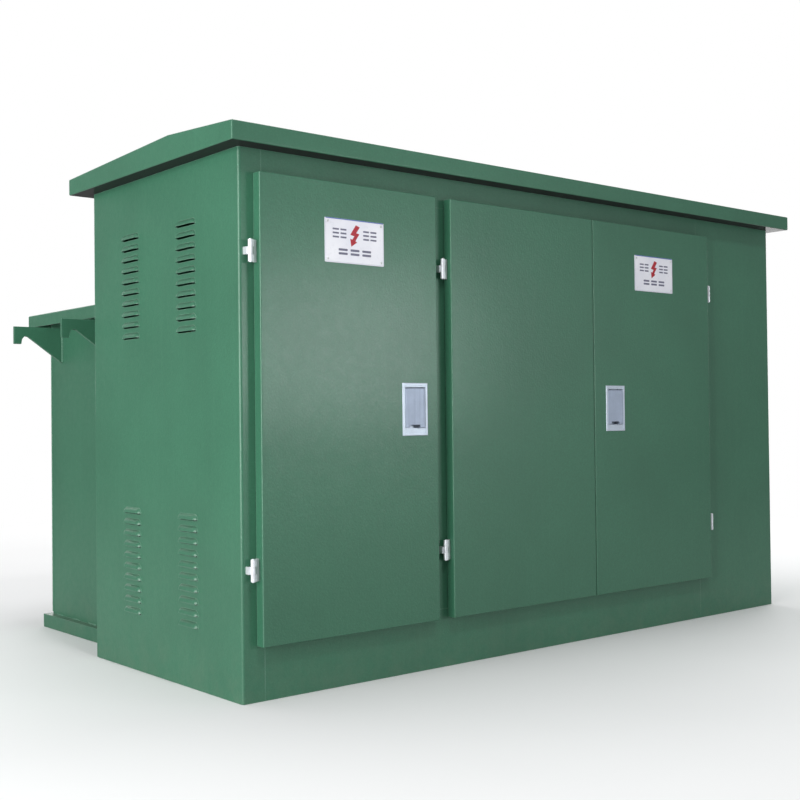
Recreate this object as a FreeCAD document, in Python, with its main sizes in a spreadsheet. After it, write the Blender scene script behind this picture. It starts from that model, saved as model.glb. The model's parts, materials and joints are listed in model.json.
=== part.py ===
import FreeCAD, Part
import Sketcher
import math
import os

# Combined pad-mounted transformer: a sheet-metal cabinet with a high-voltage
# compartment (one door) and a low-voltage compartment (two doors) in front of
# an oil-filled transformer tank with rear radiators.
#
# All lengths are in millimetres.  Sub-parts are drawn in the cabinet frame:
# x runs along the front from its left corner, y runs back into the depth from
# the front sheet, z runs up from the ground.  Each sub-part's Placement then
# carries it into the object's frame, whose origin is the centre of the
# overall footprint on the ground.

V = FreeCAD.Vector
doc = FreeCAD.newDocument("PadMountedTransformer")
sheet = doc.addObject("Spreadsheet::Sheet", "Sheet")


# ---------------------------------------------------------------- dimensions
class Q:
    """A length that knows both its number and the cell expression it is from."""

    def __init__(self, v, s):
        self.v = float(v)
        self.s = s

    def __add__(self, o):
        o = q(o)
        return Q(self.v + o.v, "(%s + %s)" % (self.s, o.s))

    def __radd__(self, o):
        return q(o) + self

    def __sub__(self, o):
        o = q(o)
        return Q(self.v - o.v, "(%s - %s)" % (self.s, o.s))

    def __rsub__(self, o):
        return q(o) - self

    def __mul__(self, o):
        o = q(o)
        return Q(self.v * o.v, "(%s * %s)" % (self.s, o.s))

    def __rmul__(self, o):
        return q(o) * self

    def __truediv__(self, o):
        o = q(o)
        return Q(self.v / o.v, "(%s / %s)" % (self.s, o.s))

    def __neg__(self):
        return Q(-self.v, "(0 - %s)" % self.s)

    def __float__(self):
        return self.v


def q(x):
    if isinstance(x, Q):
        return x
    return Q(float(x), "%.6g" % float(x) if x >= 0 else "(0 - %.6g)" % (-float(x)))


class Cells:
    pass


c = Cells()
_row = [0]


def cell(alias, value, note):
    _row[0] += 1
    sheet.set("A%d" % _row[0], "%g" % value)
    sheet.setAlias("A%d" % _row[0], alias)
    sheet.set("B%d" % _row[0], note)
    setattr(c, alias, Q(value, "Sheet." + alias))


cell("cab_w", 2350, "cabinet width along the front")
cell("cab_d", 831, "cabinet depth, front sheet to tank front wall")
cell("wall_z", 1415, "top of the cabinet walls, underside of the roof")
cell("sheet_t", 2.5, "cabinet sheet thickness")
cell("fold_r", 7, "outer radius of a folded corner")
cell("roof_of", 58, "roof overhang, front")
cell("roof_os", 54, "roof overhang, each side")
cell("roof_ob", 56, "roof overhang, back")
cell("eave_z", 1464, "top of the eaves")
cell("ridge_z", 1485.5, "top of the ridge")
cell("ridge_y", 268, "ridge line, back from the front sheet")
cell("door_t", 32, "door face, forward of the front sheet")
cell("door_gap", 2, "door back, forward of the front sheet")
cell("door_lo", 142, "door bottom edge")
cell("door_hi", 1352, "door top edge")
cell("leaf_ax", 43, "high-voltage door, left edge")
cell("leaf_ay", 641, "high-voltage door, right edge")
cell("leaf_bx", 697, "low-voltage left door, left edge")
cell("leaf_by", 1313.5, "low-voltage left door, right edge")
cell("leaf_cx", 1316.5, "low-voltage right door, left edge")
cell("leaf_cy", 1929, "low-voltage right door, right edge")
cell("rebate", 25, "how far a door laps over its opening")
cell("hinge_dx", 20, "hinge axis to the door's side")
cell("hinge_dy", 18, "hinge axis forward of the front sheet")
cell("hinge_lo", 338, "lower hinge centre")
cell("hinge_hi", 1149, "upper hinge centre")
cell("hinge_half", 28.5, "half the height of a hinge")
cell("knuckle_r", 6.5, "hinge knuckle radius")
cell("pin_r", 2.5, "hinge pin radius")
cell("latch_w", 92, "latch bezel width")
cell("latch_tall", 148, "latch bezel height")
cell("latch_z", 743.5, "latch centre height")
cell("latch_ax", 554, "high-voltage latch centre")
cell("latch_cx", 1416, "low-voltage latch centre")
cell("plate_w", 200, "label plate width")
cell("plate_tall", 119, "label plate height")
cell("plate_z", 1195.5, "label plate centre height")
cell("plate_ax", 346, "high-voltage label plate centre")
cell("plate_cx", 1624, "low-voltage label plate centre")
cell("louver_pitch", 32, "louver pitch")
cell("louver_r", 16.25, "louver scoop radius, about an axis inside the sheet")
cell("louver_in", 6.25, "axis of the louver scoops, in from the outer face")
cell("louver_front", 266, "front louver column centre")
cell("louver_rear", 586, "rear louver column centre")
cell("louver_up", 960, "lowest louver of the upper banks")
cell("louver_low", 165, "lowest louver of the lower banks")
cell("tank_in", 128, "tank wall, in from the cabinet's side")
cell("tank_back", 1441, "tank rear wall")
cell("tank_lo", 45, "tank underside")
cell("tank_hi", 1082, "top of the tank flange")
cell("tank_t", 5, "tank wall thickness")
cell("cover_hi", 1093, "top of the tank cover")
cell("cover_lo", 1051, "bottom of the cover's rim")
cell("cover_out", 60, "cover overhang past the tank wall")
cell("hook_ya", 975, "front pair of lifting hooks")
cell("hook_yb", 1355, "rear pair of lifting hooks")
cell("hook_out", 171, "lifting hook reach from the tank wall")
cell("rad_back", 1678, "rear edge of the radiator panels")
cell("rad_front", 1458, "front edge of the radiator panels")
cell("rad_lo", 190, "bottom of the radiator panels")
cell("rad_hi", 980, "top of the radiator panels")
cell("rad_pitch", 50, "radiator panel pitch")
cell("rad_t", 12, "radiator panel thickness")
cell("floor_z", 60, "underside of the compartment floor")
cell("split_x", 669, "partition between the two compartments")

doc.recompute()

half_w = c.cab_w / 2
mid_y = (c.rad_back - c.roof_of) / 2          # centre of the footprint's depth
op_lo = c.door_lo + c.rebate                  # door opening, bottom and top
op_hi = c.door_hi - c.rebate
op_ax = c.leaf_ax + c.rebate                  # high-voltage opening, sides
op_ay = c.leaf_ay - c.rebate
op_bx = c.leaf_bx + c.rebate                  # low-voltage opening, sides
op_cy = c.leaf_cy - c.rebate
tank_rx = c.cab_w - c.tank_in                 # tank right wall


# ------------------------------------------------------------------- helpers
def bind(obj, prop, value):
    value = q(value)
    if "Sheet." in value.s:
        obj.setExpression(prop, value.s)
    else:
        parts = prop.split(".")
        if len(parts) == 1:
            setattr(obj, prop, value.v)
        else:
            obj.setExpression(prop, value.s)


_n = [0]


def fresh(stem):
    _n[0] += 1
    return "%s_%03d" % (stem, _n[0])


def box(x0, x1, y0, y1, z0, z1):
    x0, x1, y0, y1, z0, z1 = [q(a) for a in (x0, x1, y0, y1, z0, z1)]
    o = doc.addObject("Part::Box", fresh("Block"))
    bind(o, "Length", x1 - x0)
    bind(o, "Width", y1 - y0)
    bind(o, "Height", z1 - z0)
    bind(o, "Placement.Base.x", x0)
    bind(o, "Placement.Base.y", y0)
    bind(o, "Placement.Base.z", z0)
    return o


TURN = {"x": FreeCAD.Rotation(V(0, 1, 0), 90), "y": FreeCAD.Rotation(V(1, 0, 0), -90),
        "z": FreeCAD.Rotation()}


def rod(axis, r, x, y, z, length):
    """A cylinder along +axis from the point x, y, z."""
    o = doc.addObject("Part::Cylinder", fresh("Rod"))
    bind(o, "Radius", r)
    bind(o, "Height", length)
    o.Placement = FreeCAD.Placement(V(0, 0, 0), TURN[axis])
    bind(o, "Placement.Base.x", x)
    bind(o, "Placement.Base.y", y)
    bind(o, "Placement.Base.z", z)
    return o


def cone(axis, r1, r2, x, y, z, length):
    o = doc.addObject("Part::Cone", fresh("Taper"))
    bind(o, "Radius1", r1)
    bind(o, "Radius2", r2)
    bind(o, "Height", length)
    o.Placement = FreeCAD.Placement(V(0, 0, 0), TURN[axis])
    bind(o, "Placement.Base.x", x)
    bind(o, "Placement.Base.y", y)
    bind(o, "Placement.Base.z", z)
    return o


def fuse(*objs):
    o = doc.addObject("Part::MultiFuse", fresh("Join"))
    o.Shapes = list(objs)
    o.Refine = True
    return o


def cut(base, *tools):
    t = tools[0] if len(tools) == 1 else None
    if t is None:
        t = doc.addObject("Part::Compound", fresh("Tools"))
        t.Links = list(tools)
    o = doc.addObject("Part::Cut", fresh("Less"))
    o.Base = base
    o.Tool = t
    o.Refine = True
    return o


def group(*objs):
    o = doc.addObject("Part::Compound", fresh("Set"))
    o.Links = list(objs)
    return o


def mirror_x(obj):
    """The same piece on the other side of the cabinet's middle plane."""
    o = doc.addObject("Part::Mirroring", fresh("Mirror"))
    o.Source = obj
    o.Normal = V(1, 0, 0)
    o.Base = V(half_w.v, 0, 0)
    o.setExpression("Base.x", half_w.s)
    return o


PLANE = {"XY": ("XY_Plane", 1), "XZ": ("XZ_Plane", -1), "YZ": ("YZ_Plane", 1)}


def new_body():
    return doc.addObject("PartDesign::Body", fresh("Body"))


def sketch(body, plane, loops, at):
    """Closed outlines on one of the body's own planes, each corner dimensioned."""
    role, sign = PLANE[plane]
    sk = body.newObject("Sketcher::SketchObject", fresh("Outline"))
    base = [f for f in body.Origin.OriginFeatures if f.Role == role][0]
    sk.AttachmentSupport = [(base, "")]
    sk.MapMode = "FlatFace"
    at = q(at) * sign
    if "Sheet." in at.s:
        sk.setExpression("AttachmentOffset.Base.z", at.s)
    else:
        sk.AttachmentOffset = FreeCAD.Placement(V(0, 0, at.v), FreeCAD.Rotation())

    def place(geo, pos, u, w):
        for k, value in ((0, q(u)), (1, q(w))):
            if abs(value.v) < 1e-9:
                sk.addConstraint(Sketcher.Constraint("PointOnObject", geo, pos, -2 if k == 0 else -1))
                continue
            i = sk.addConstraint(Sketcher.Constraint("DistanceX" if k == 0 else "DistanceY",
                                                     -1, 1, geo, pos, value.v))
            if "Sheet." in value.s:
                sk.setExpression("Constraints[%d]" % i, value.s)

    for loop in loops:
        if loop[0] == "circle":
            _, cx, cy, r = loop
            cx, cy, r = q(cx), q(cy), q(r)
            g = sk.addGeometry(Part.Circle(V(cx.v, cy.v, 0), V(0, 0, 1), r.v))
            place(g, 3, cx, cy)
            i = sk.addConstraint(Sketcher.Constraint("Radius", g, r.v))
            if "Sheet." in r.s:
                sk.setExpression("Constraints[%d]" % i, r.s)
            continue
        pts = [(q(a), q(b)) for a, b in loop]
        n = len(pts)
        ids = []
        for i in range(n):
            a, b = pts[i], pts[(i + 1) % n]
            ids.append(sk.addGeometry(Part.LineSegment(V(a[0].v, a[1].v, 0), V(b[0].v, b[1].v, 0))))
        for i in range(n):
            sk.addConstraint(Sketcher.Constraint("Coincident", ids[i], 2, ids[(i + 1) % n], 1))
        for i in range(n):
            place(ids[i], 1, pts[i][0], pts[i][1])
    return sk


def pad(body, plane, loops, lo, hi):
    lo, hi = q(lo), q(hi)
    f = body.newObject("PartDesign::Pad", fresh("Pad"))
    f.Profile = sketch(body, plane, loops, (lo + hi) / 2)
    f.SideType = "Symmetric"
    bind(f, "Length", hi - lo)
    body.Tip = f
    doc.recompute()
    return f


def pocket(body, plane, loops, lo, hi):
    """A pocket that takes away the outline between lo and hi along the normal."""
    lo, hi = q(lo), q(hi)
    before = body.Shape.Volume
    f = body.newObject("PartDesign::Pocket", fresh("Pocket"))
    f.Profile = sketch(body, plane, loops, (lo + hi) / 2)
    f.SideType = "Symmetric"
    bind(f, "Length", hi - lo)
    body.Tip = f
    doc.recompute()
    if body.Shape.Volume > before - 0.5:
        raise RuntimeError("pocket %s takes nothing away" % f.Name)
    return f


def fillet(body, r, test):
    """Round the edges of the tip whose middle point passes the test."""
    tip = body.Tip
    names = []
    for i, e in enumerate(tip.Shape.Edges):
        m = e.valueAt((e.FirstParameter + e.LastParameter) / 2)
        if test(e, m):
            names.append("Edge%d" % (i + 1))
    if not names:
        raise RuntimeError("no edge to round in %s" % body.Name)
    f = body.newObject("PartDesign::Fillet", fresh("Round"))
    f.Base = (tip, names)
    bind(f, "Radius", r)
    body.Tip = f
    doc.recompute()
    return f


def prism(plane, loops, lo, hi):
    b = new_body()
    pad(b, plane, loops, lo, hi)
    return b


def rect(a0, a1, b0, b1):
    return [(a0, b0), (a1, b0), (a1, b1), (a0, b1)]


def lathe(points, x, y, z, axis="-y"):
    """A turned piece: (distance along the axis, radius) points, spun about the axis.

    The outline is drawn on the body's XY plane with its axis on local +y, and
    the body is then placed with that axis along the given direction."""
    b = new_body()
    pts = [(r, d) for d, r in points]
    sk = sketch(b, "XY", [pts], 0)
    f = b.newObject("PartDesign::Revolution", fresh("Turn"))
    f.Profile = sk
    f.ReferenceAxis = (sk, ["V_Axis"])
    f.Angle = 360
    b.Tip = f
    turn = {"-y": FreeCAD.Rotation(V(0, 0, 1), 180), "y": FreeCAD.Rotation(),
            "z": FreeCAD.Rotation(V(1, 0, 0), 90)}[axis]
    b.Placement = FreeCAD.Placement(V(0, 0, 0), turn)
    bind(b, "Placement.Base.x", x)
    bind(b, "Placement.Base.y", y)
    bind(b, "Placement.Base.z", z)
    doc.recompute()
    return b


nodes = []


def node(label, obj):
    """Name a finished sub-part and carry it into the object's frame."""
    if obj.TypeId in ("Part::Box", "Part::Cylinder", "Part::Cone"):
        obj = group(obj)
    if obj.TypeId == "PartDesign::Body" and (abs(obj.Placement.Base.x) > 1e-9 or
                                             abs(obj.Placement.Base.y) > 1e-9):
        obj = group(obj)
    obj.Label = label
    obj.setExpression("Placement.Base.x", "0 - " + half_w.s)
    obj.setExpression("Placement.Base.y", "0 - " + mid_y.s)
    nodes.append(obj)
    return obj


def feature(label, shape):
    o = doc.addObject("Part::Feature", fresh("Shape"))
    o.Shape = shape
    o.Label = label
    o.setExpression("Placement.Base.x", "0 - " + half_w.s)
    o.setExpression("Placement.Base.y", "0 - " + mid_y.s)
    nodes.append(o)
    return o


def solid_box(x0, x1, y0, y1, z0, z1):
    return Part.makeBox(x1 - x0, y1 - y0, z1 - z0, V(x0, y0, z0))


# ------------------------------------------------------------- cabinet shell
def louver(x, y0, y1, z, r):
    """Upper half of a capsule lying along y: a scoop that opens downward."""
    body = Part.makeCylinder(r, (y1 - r) - (y0 + r), V(x, y0 + r, z), V(0, 1, 0))
    body = body.fuse(Part.makeSphere(r, V(x, y0 + r, z)))
    body = body.fuse(Part.makeSphere(r, V(x, y1 - r, z)))
    return body


def side_panel(front_w):
    """Left side wall: one folded sheet with a front return that ends in a lip at
    the door opening, a rear return that meets the tank, and four louver banks."""
    t, d, top = c.sheet_t.v, c.cab_d.v, c.wall_z.v
    r, x0 = c.louver_r.v, c.louver_in.v
    p = solid_box(0, t, 0, d, 0, top)
    p = p.fuse([solid_box(0, front_w, 0, t, 0, top),
                solid_box(front_w - t, front_w, 0, 18, 0, top),
                solid_box(0, 135, d - t, d, 0, top)]).removeSplitter()
    outer, inner = [], []
    for e in p.Edges:
        if len(e.Vertexes) == 2 and abs(e.Length - top) < 1e-6:
            m = e.Vertexes[0].Point
            if abs(m.x) < 1e-6 and (abs(m.y) < 1e-6 or abs(m.y - d) < 1e-6):
                outer.append(e)
            if abs(m.x - t) < 1e-6 and (abs(m.y - t) < 1e-6 or abs(m.y - d + t) < 1e-6):
                inner.append(e)
    p = p.makeFillet(c.fold_r.v, outer)
    inner = []
    for e in p.Edges:
        if len(e.Vertexes) == 2 and abs(e.Length - top) < 1e-6:
            m = e.Vertexes[0].Point
            if abs(m.x - t) < 1e-6 and (abs(m.y - t) < 1e-6 or abs(m.y - d + t) < 1e-6):
                inner.append(e)
    p = p.makeFillet(c.fold_r.v - t, inner)
    skins, hollows = [], []
    for zc in (c.louver_up.v, c.louver_low.v):
        for yc, half in ((c.louver_front.v, 52), (c.louver_rear.v, 52)):
            for i in range(10):
                z = zc + i * c.louver_pitch.v
                a = louver(x0, yc - half, yc + half, z, r)
                skins.append(a.common(solid_box(-r, t, yc - half - 1, yc + half + 1, z, z + r + 1)))
                b = louver(x0, yc - half + 1.4, yc + half - 1.4, z, r - 1.4)
                hollows.append(b.common(solid_box(-r, t + 1, yc - half, yc + half, z - 0.5, z + r + 1)))
                # the slot runs a little below the scoop's lip
                hollows.append(solid_box(-1, t + 1, yc - half + 6, yc + half - 6, z - 3, z + 1))
    p = p.fuse(skins)
    p = p.cut(Part.makeCompound(hollows))
    return p.removeSplitter()


feature("left_side_panel", side_panel(op_ax.v))
# The right wall is the mirror image, but its front return is wide enough to
# form the blank front panel beyond the last door.
feature("right_side_panel", side_panel(c.cab_w.v - op_cy.v).mirror(V(half_w.v, 0, 0), V(1, 0, 0)))

t = c.sheet_t
# Rails and centre post of the front: channels whose lips edge the openings.
shoot_x = c.leaf_by - 29                      # shoot bolt of the passive leaf
top_rail = prism("YZ", [[
    (0, op_hi), (18, op_hi), (18, op_hi + t), (t, op_hi + t), (t, c.wall_z - t),
    (25, c.wall_z - t), (25, c.wall_z), (0, c.wall_z)]], op_ax, op_cy)
pocket(top_rail, "XY", [("circle", shoot_x, 8, 5.3)], op_hi - 1, op_hi + t + 1)
node("front_top_rail", top_rail)
node("front_bottom_rail", prism("YZ", [[
    (0, 0), (40, 0), (40, t), (t, t), (t, op_lo - t), (18, op_lo - t), (18, op_lo),
    (0, op_lo)]], op_ax, op_cy))
node("front_centre_post", prism("XY", [[
    (op_ay, 0), (op_bx, 0), (op_bx, 18), (op_bx - t, 18), (op_bx - t, t),
    (op_ay + t, t), (op_ay + t, 18), (op_ay, 18)]], op_lo, op_hi))

# Roof: a shallow gabled lid with a deep fascia all round and a soffit return.
roof = new_body()
ry0, ry1 = -c.roof_of, c.cab_d + c.roof_ob
rx0, rx1 = -c.roof_os, c.cab_w + c.roof_os
pad(roof, "YZ", [[(ry0, c.wall_z), (ry1, c.wall_z), (ry1, c.eave_z), (c.ridge_y, c.ridge_z),
                  (ry0, c.eave_z)]], rx0, rx1)


def roof_edge(e, m):
    long_front = abs(m.y - ry0.v) < 0.5 or abs(m.y - ry1.v) < 0.5
    ends = abs(m.x - rx0.v) < 0.5 or abs(m.x - rx1.v) < 0.5
    upright = abs(m.z - (c.wall_z.v + c.eave_z.v) / 2) < 1
    eave = abs(m.z - c.eave_z.v) < 0.5 and long_front
    verge = ends and m.z > c.eave_z.v + 1
    hem = abs(m.z - c.wall_z.v) < 0.5 and (long_front or ends)
    return (upright and long_front and ends) or eave or verge or hem


fillet(roof, 4, roof_edge)
pocket(roof, "YZ", [[(ry0 + t, c.wall_z + t), (ry1 - t, c.wall_z + t), (ry1 - t, c.eave_z - t),
                     (c.ridge_y, c.ridge_z - t), (ry0 + t, c.eave_z - t)]], rx0 + t, rx1 - t)
pocket(roof, "XY", [rect(8, c.cab_w - 8, 8, c.cab_d - 8)], c.wall_z - 1, c.wall_z + t + 1)
node("roof_cover", roof)

# Wall between the two compartments, with a rear flange.
sx = c.split_x - t / 2
node("compartment_partition", prism("XY", [[
    (sx, 18.5), (sx + t, 18.5), (sx + t, c.cab_d - 3 - t), (sx + 22, c.cab_d - 3 - t),
    (sx + 22, c.cab_d - 3), (sx, c.cab_d - 3)]], c.floor_z + 3.5, c.wall_z - 8))

# Back sheet of the cabinet above the tank.
upper = new_body()
pad(upper, "XZ", [rect(135, c.cab_w - 135, 1040, c.wall_z)], c.cab_d - t, c.cab_d)
node("rear_upper_panel", upper)

# Compartment floor with one cable opening in each compartment.
floor = new_body()
pad(floor, "XY", [rect(3, c.cab_w - 3, 18.5, c.cab_d - 3)], c.floor_z, c.floor_z + 3)
fillet(floor, 6, lambda e, m: abs(e.Length - 3) < 0.01)
pocket(floor, "XY", [rect(220, 480, 300, 600)], c.floor_z - 1, c.floor_z + 4)
pocket(floor, "XY", [rect(950, 1450, 300, 600)], c.floor_z - 1, c.floor_z + 4)
node("floor_plate", floor)

# Base: two long channels and three cross channels under the floor; the long
# ones have the anchor-bolt holes in their lower flanges.
front_bar = new_body()
pad(front_bar, "YZ", [[(45, 0), (95, 0), (95, 5), (50, 5), (50, 55), (95, 55), (95, c.floor_z),
                       (45, c.floor_z)]], 12, c.cab_w - 12)
pocket(front_bar, "XY", [("circle", 200, 72, 9), ("circle", c.cab_w - 200, 72, 9)], -1, 6)
rear_bar = new_body()
pad(rear_bar, "YZ", [[(750, 0), (800, 0), (800, c.floor_z), (750, c.floor_z), (750, 55), (795, 55),
                      (795, 5), (750, 5)]], 12, c.cab_w - 12)
pocket(rear_bar, "XY", [("circle", 200, 772, 9), ("circle", c.cab_w - 200, 772, 9)], -1, 6)


def cross_bar(x):
    x = q(x)
    return prism("XZ", [[(x, 0), (x + 50, 0), (x + 50, 5), (x + 5, 5), (x + 5, 55), (x + 50, 55),
                         (x + 50, c.floor_z), (x, c.floor_z)]], 96, 749)


node("base_frame", group(front_bar, rear_bar, cross_bar(60), cross_bar(644), cross_bar(2240)))


# Door seals: flat rubber frames around each opening.
def seal(xa, xb):
    return cut(box(xa + 6, xb - 6, -1.6, 0, c.door_lo + 6, c.door_hi - 6),
               box(xa + c.rebate - 3, xb - c.rebate + 3, -3, 2, op_lo - 3, op_hi + 3))


node("door_gaskets", group(seal(c.leaf_ax, c.leaf_ay), seal(c.leaf_bx, c.leaf_cy)))


# -------------------------------------------------------------------- hinges
hinge_z = (c.hinge_lo, c.hinge_hi)
ax_a = c.leaf_ax - c.hinge_dx
ax_b = c.leaf_bx - c.hinge_dx
ax_c = c.leaf_cy + c.hinge_dx
ax_y = -c.hinge_dy
hh = c.hinge_half


def span(ax, side, u0, u1, y0, y1, z0, z1):
    """Box measured outward from the hinge axis: u grows towards the door."""
    if side < 0:
        return box(ax + u0, ax + u1, y0, y1, z0, z1)
    return box(ax - u1, ax - u0, y0, y1, z0, z1)


def frame_leaf(ax, side, zc):
    """Lug welded to the frame, with the middle knuckle.  side is -1 where the
    lug lies left of the axis and +1 where it lies right of it."""
    return cut(fuse(span(ax, side, -11, 0, -5, 0, zc - 9.5, zc + 9.5),
                    span(ax, side, -11, -5, ax_y + 3, -4, zc - 9.5, zc + 9.5),
                    span(ax, side, -8, 0, ax_y + 1, ax_y + 7, zc - 9.5, zc + 9.5),
                    rod("z", c.knuckle_r, ax, ax_y, zc - 9.5, 19)),
               rod("z", c.pin_r, ax, ax_y, zc - 12, 24))


def door_leaf(ax, side, zc):
    """Leaf fixed to the side of the door, with the outer two knuckles and a
    window round the middle one."""
    parts = []
    for z0 in (zc - hh, zc + 10):
        parts.append(rod("z", c.knuckle_r, ax, ax_y, z0, hh - 10))
        parts.append(span(ax, side, 0, 13, ax_y + 1, -10, z0, z0 + hh - 10))
    parts.append(span(ax, side, 11.5, c.hinge_dx, -14, -10, zc - hh, zc + hh))
    parts.append(span(ax, side, c.hinge_dx - 3, c.hinge_dx, -14, -4, zc - hh, zc + hh))
    return cut(fuse(*parts), rod("z", c.pin_r + 0.06, ax, ax_y, zc - hh - 1, 2 * hh + 2))


node("hinge_frame_leaves", group(*[frame_leaf(ax, s, z) for ax, s in ((ax_a, -1), (ax_b, -1), (ax_c, 1))
                                   for z in hinge_z]))
node("hinge_pins", group(*[rod("z", c.pin_r, ax, ax_y, z - hh - 1.5, 2 * hh + 3)
                           for ax in (ax_a, ax_b, ax_c) for z in hinge_z]))
node("hv_hinge_door_leaves", group(door_leaf(ax_a, -1, c.hinge_lo), door_leaf(ax_a, -1, c.hinge_hi)))
node("lv_left_hinge_door_leaves", group(door_leaf(ax_b, -1, c.hinge_lo), door_leaf(ax_b, -1, c.hinge_hi)))
node("lv_right_hinge_door_leaves", group(door_leaf(ax_c, 1, c.hinge_lo), door_leaf(ax_c, 1, c.hinge_hi)))


# --------------------------------------------------------------------- doors
def door(xa, xb, latch_x=None):
    """Folded pan: face, four returned edges and an inner lip; the locking doors
    have a window for the flush latch."""
    b = new_body()
    f0, f1 = -c.door_t, -c.door_gap
    pad(b, "XZ", [rect(xa, xb, c.door_lo, c.door_hi)], f0, f1)
    fillet(b, 3, lambda e, m: abs(m.y - f0.v) < 0.01 or
           (abs(e.Vertexes[0].Point.y - e.Vertexes[-1].Point.y) > 5))
    pocket(b, "XZ", [rect(xa + 2, xb - 2, c.door_lo + 2, c.door_hi - 2)], f0 + 2, f1 - 2)
    pocket(b, "XZ", [rect(xa + 20, xb - 20, c.door_lo + 20, c.door_hi - 20)], f1 - 3, f1 + 1)
    if latch_x is not None:
        w, h = c.latch_w / 2 - 4, c.latch_tall / 2 - 4
        pocket(b, "XZ", [rect(latch_x - w, latch_x + w, c.latch_z - h, c.latch_z + h)], f0 - 1, f0 + 3)
    return b


hv = door(c.leaf_ax, c.leaf_ay, c.latch_ax)
node("hv_door", hv)
left = door(c.leaf_bx, c.leaf_by)
# Guides of the shoot bolt, welded to the inner lip.
guides = []
for gz in (1120, 1290):
    guides.append(cut(box(shoot_x - 9, c.leaf_by - 4, -c.door_gap - 1, 16, gz, gz + 8),
                      rod("z", 4.9, shoot_x, 8, gz - 2, 12)))
node("lv_left_door", fuse(left, *guides))
node("lv_right_door", door(c.leaf_cx, c.leaf_cy, c.latch_cx))
node("lv_shoot_bolt", fuse(rod("z", 4.5, shoot_x, 8, 1070, 1323 - 1070), rod("y", 4, shoot_x, 8, 1180, 16),
                           rod("z", 5, shoot_x, 24, 1172, 16)))


# ------------------------------------------------------------------- latches
def bezel(x):
    """Flush bezel with a recessed tray that passes through the door's window.

    A block fills the tray's foot, below the finger slit, and a narrow one its
    head, above the paddle."""
    z = c.latch_z
    w, h = c.latch_w / 2, c.latch_tall / 2
    b = new_body()
    pad(b, "XZ", [rect(x - w, x + w, z - h, z + h)], -c.door_t - 2.5, -c.door_t)
    fillet(b, 1.6, lambda e, m: abs(m.y + c.door_t.v + 2.5) < 0.01)
    pad(b, "XZ", [rect(x - w + 4.6, x + w - 4.6, z - h + 4.6, z + h - 4.6)], -c.door_t - 1, -12)
    pocket(b, "XZ", [rect(x - w + 8, x + w - 8, z - h + 6.5, z + h - 6.5)], -c.door_t - 4, -14)
    pad(b, "XZ", [rect(x - w + 7, x + w - 7, z - h + 6, z - h + 20.5)], -c.door_t - 0.8, -13)
    pad(b, "XZ", [rect(x - w + 7, x + w - 7, z + h - 11.5, z + h - 6)], -c.door_t - 0.8, -13)
    # blind bores for the paddle's trunnions
    pocket(b, "YZ", [("circle", -29, z + h - 17, 2.06)], x - w + 5.6, x + w - 5.6)
    # bore for the tongue's spindle
    pocket(b, "XZ", [("circle", x, z, 6.06)], -16, -10)
    return b


def paddle(x):
    """Lift-up paddle hinged at its top edge; its foot is notched in the middle
    for the fingers, with a lip folded in along the edge."""
    z = c.latch_z
    w, h = c.latch_w / 2, c.latch_tall / 2
    top = z + h - 17
    f = -c.door_t - 1.5
    foot = z - h + 22.5
    a, b = x - w + 9, x + w - 9
    plate = new_body()
    pad(plate, "XZ", [[(a, foot), (x - 21, foot), (x - 19, foot + 8), (x + 19, foot + 8), (x + 21, foot),
                       (b, foot), (b, top + 1.5), (a, top + 1.5)]], f, f + 3)
    fillet(plate, 0.8, lambda e, m: abs(m.y - f.v) < 0.01)
    lip_l = box(a, x - 20.5, f + 1, f + 8, foot, foot + 2.5)
    lip_r = box(x + 20.5, b, f + 1, f + 8, foot, foot + 2.5)
    lip_m = box(x - 20, x + 20, f + 1, f + 8, foot + 8, foot + 10.5)
    rib_l = box(x - w + 14, x - w + 17, f + 2, f + 10, foot + 2, top)
    rib_r = box(x + w - 17, x + w - 14, f + 2, f + 10, foot + 2, top)
    barrel = rod("x", 3.2, a, -29, top, b - a)
    trunnion = rod("x", 2, x - w + 6, -29, top, 2 * w - 12)
    return fuse(plate, lip_l, lip_r, lip_m, rib_l, rib_r, barrel, trunnion)


def tongue(x, side, reach):
    """Turning tongue behind the door; side is the direction of the free edge."""
    z = c.latch_z
    hub = rod("y", 12, x, -11.5, z, 18.5)
    spindle = rod("y", 6, x, -14, z, 4)
    if side > 0:
        arm = box(x, x + reach, 3, 7, z - 9, z + 9)
    else:
        arm = box(x - reach, x, 3, 7, z - 9, z + 9)
    return fuse(hub, spindle, arm)


node("hv_latch_bezel", bezel(c.latch_ax))
node("lv_latch_bezel", bezel(c.latch_cx))
node("hv_latch_paddle", paddle(c.latch_ax))
node("lv_latch_paddle", paddle(c.latch_cx))
node("hv_latch_tongue", tongue(c.latch_ax, 1, 59))
node("lv_latch_tongue", tongue(c.latch_cx, -1, 98))


# -------------------------------------------------------------- label plates
def label_plate(x):
    w, h = c.plate_w / 2, c.plate_tall / 2
    b = new_body()
    pad(b, "XZ", [rect(x - w, x + w, c.plate_z - h, c.plate_z + h)], -c.door_t - 1.5, -c.door_t)
    fillet(b, 3, lambda e, m: abs(e.Vertexes[0].Point.y - e.Vertexes[-1].Point.y) > 1)
    return b


node("hv_label_plate", label_plate(c.plate_ax))
node("lv_label_plate", label_plate(c.plate_cx))

# ---------------------------------------------------------------------- tank
# Positions on the tank's front wall of everything that passes through it.
fuse_x = (200, 310, 420)
fuse_z = 860
hv_x = (200, 330, 460)
hv_z = 630
lv_x = (980, 1110, 1240, 1370)
lv_z = 770

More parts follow.
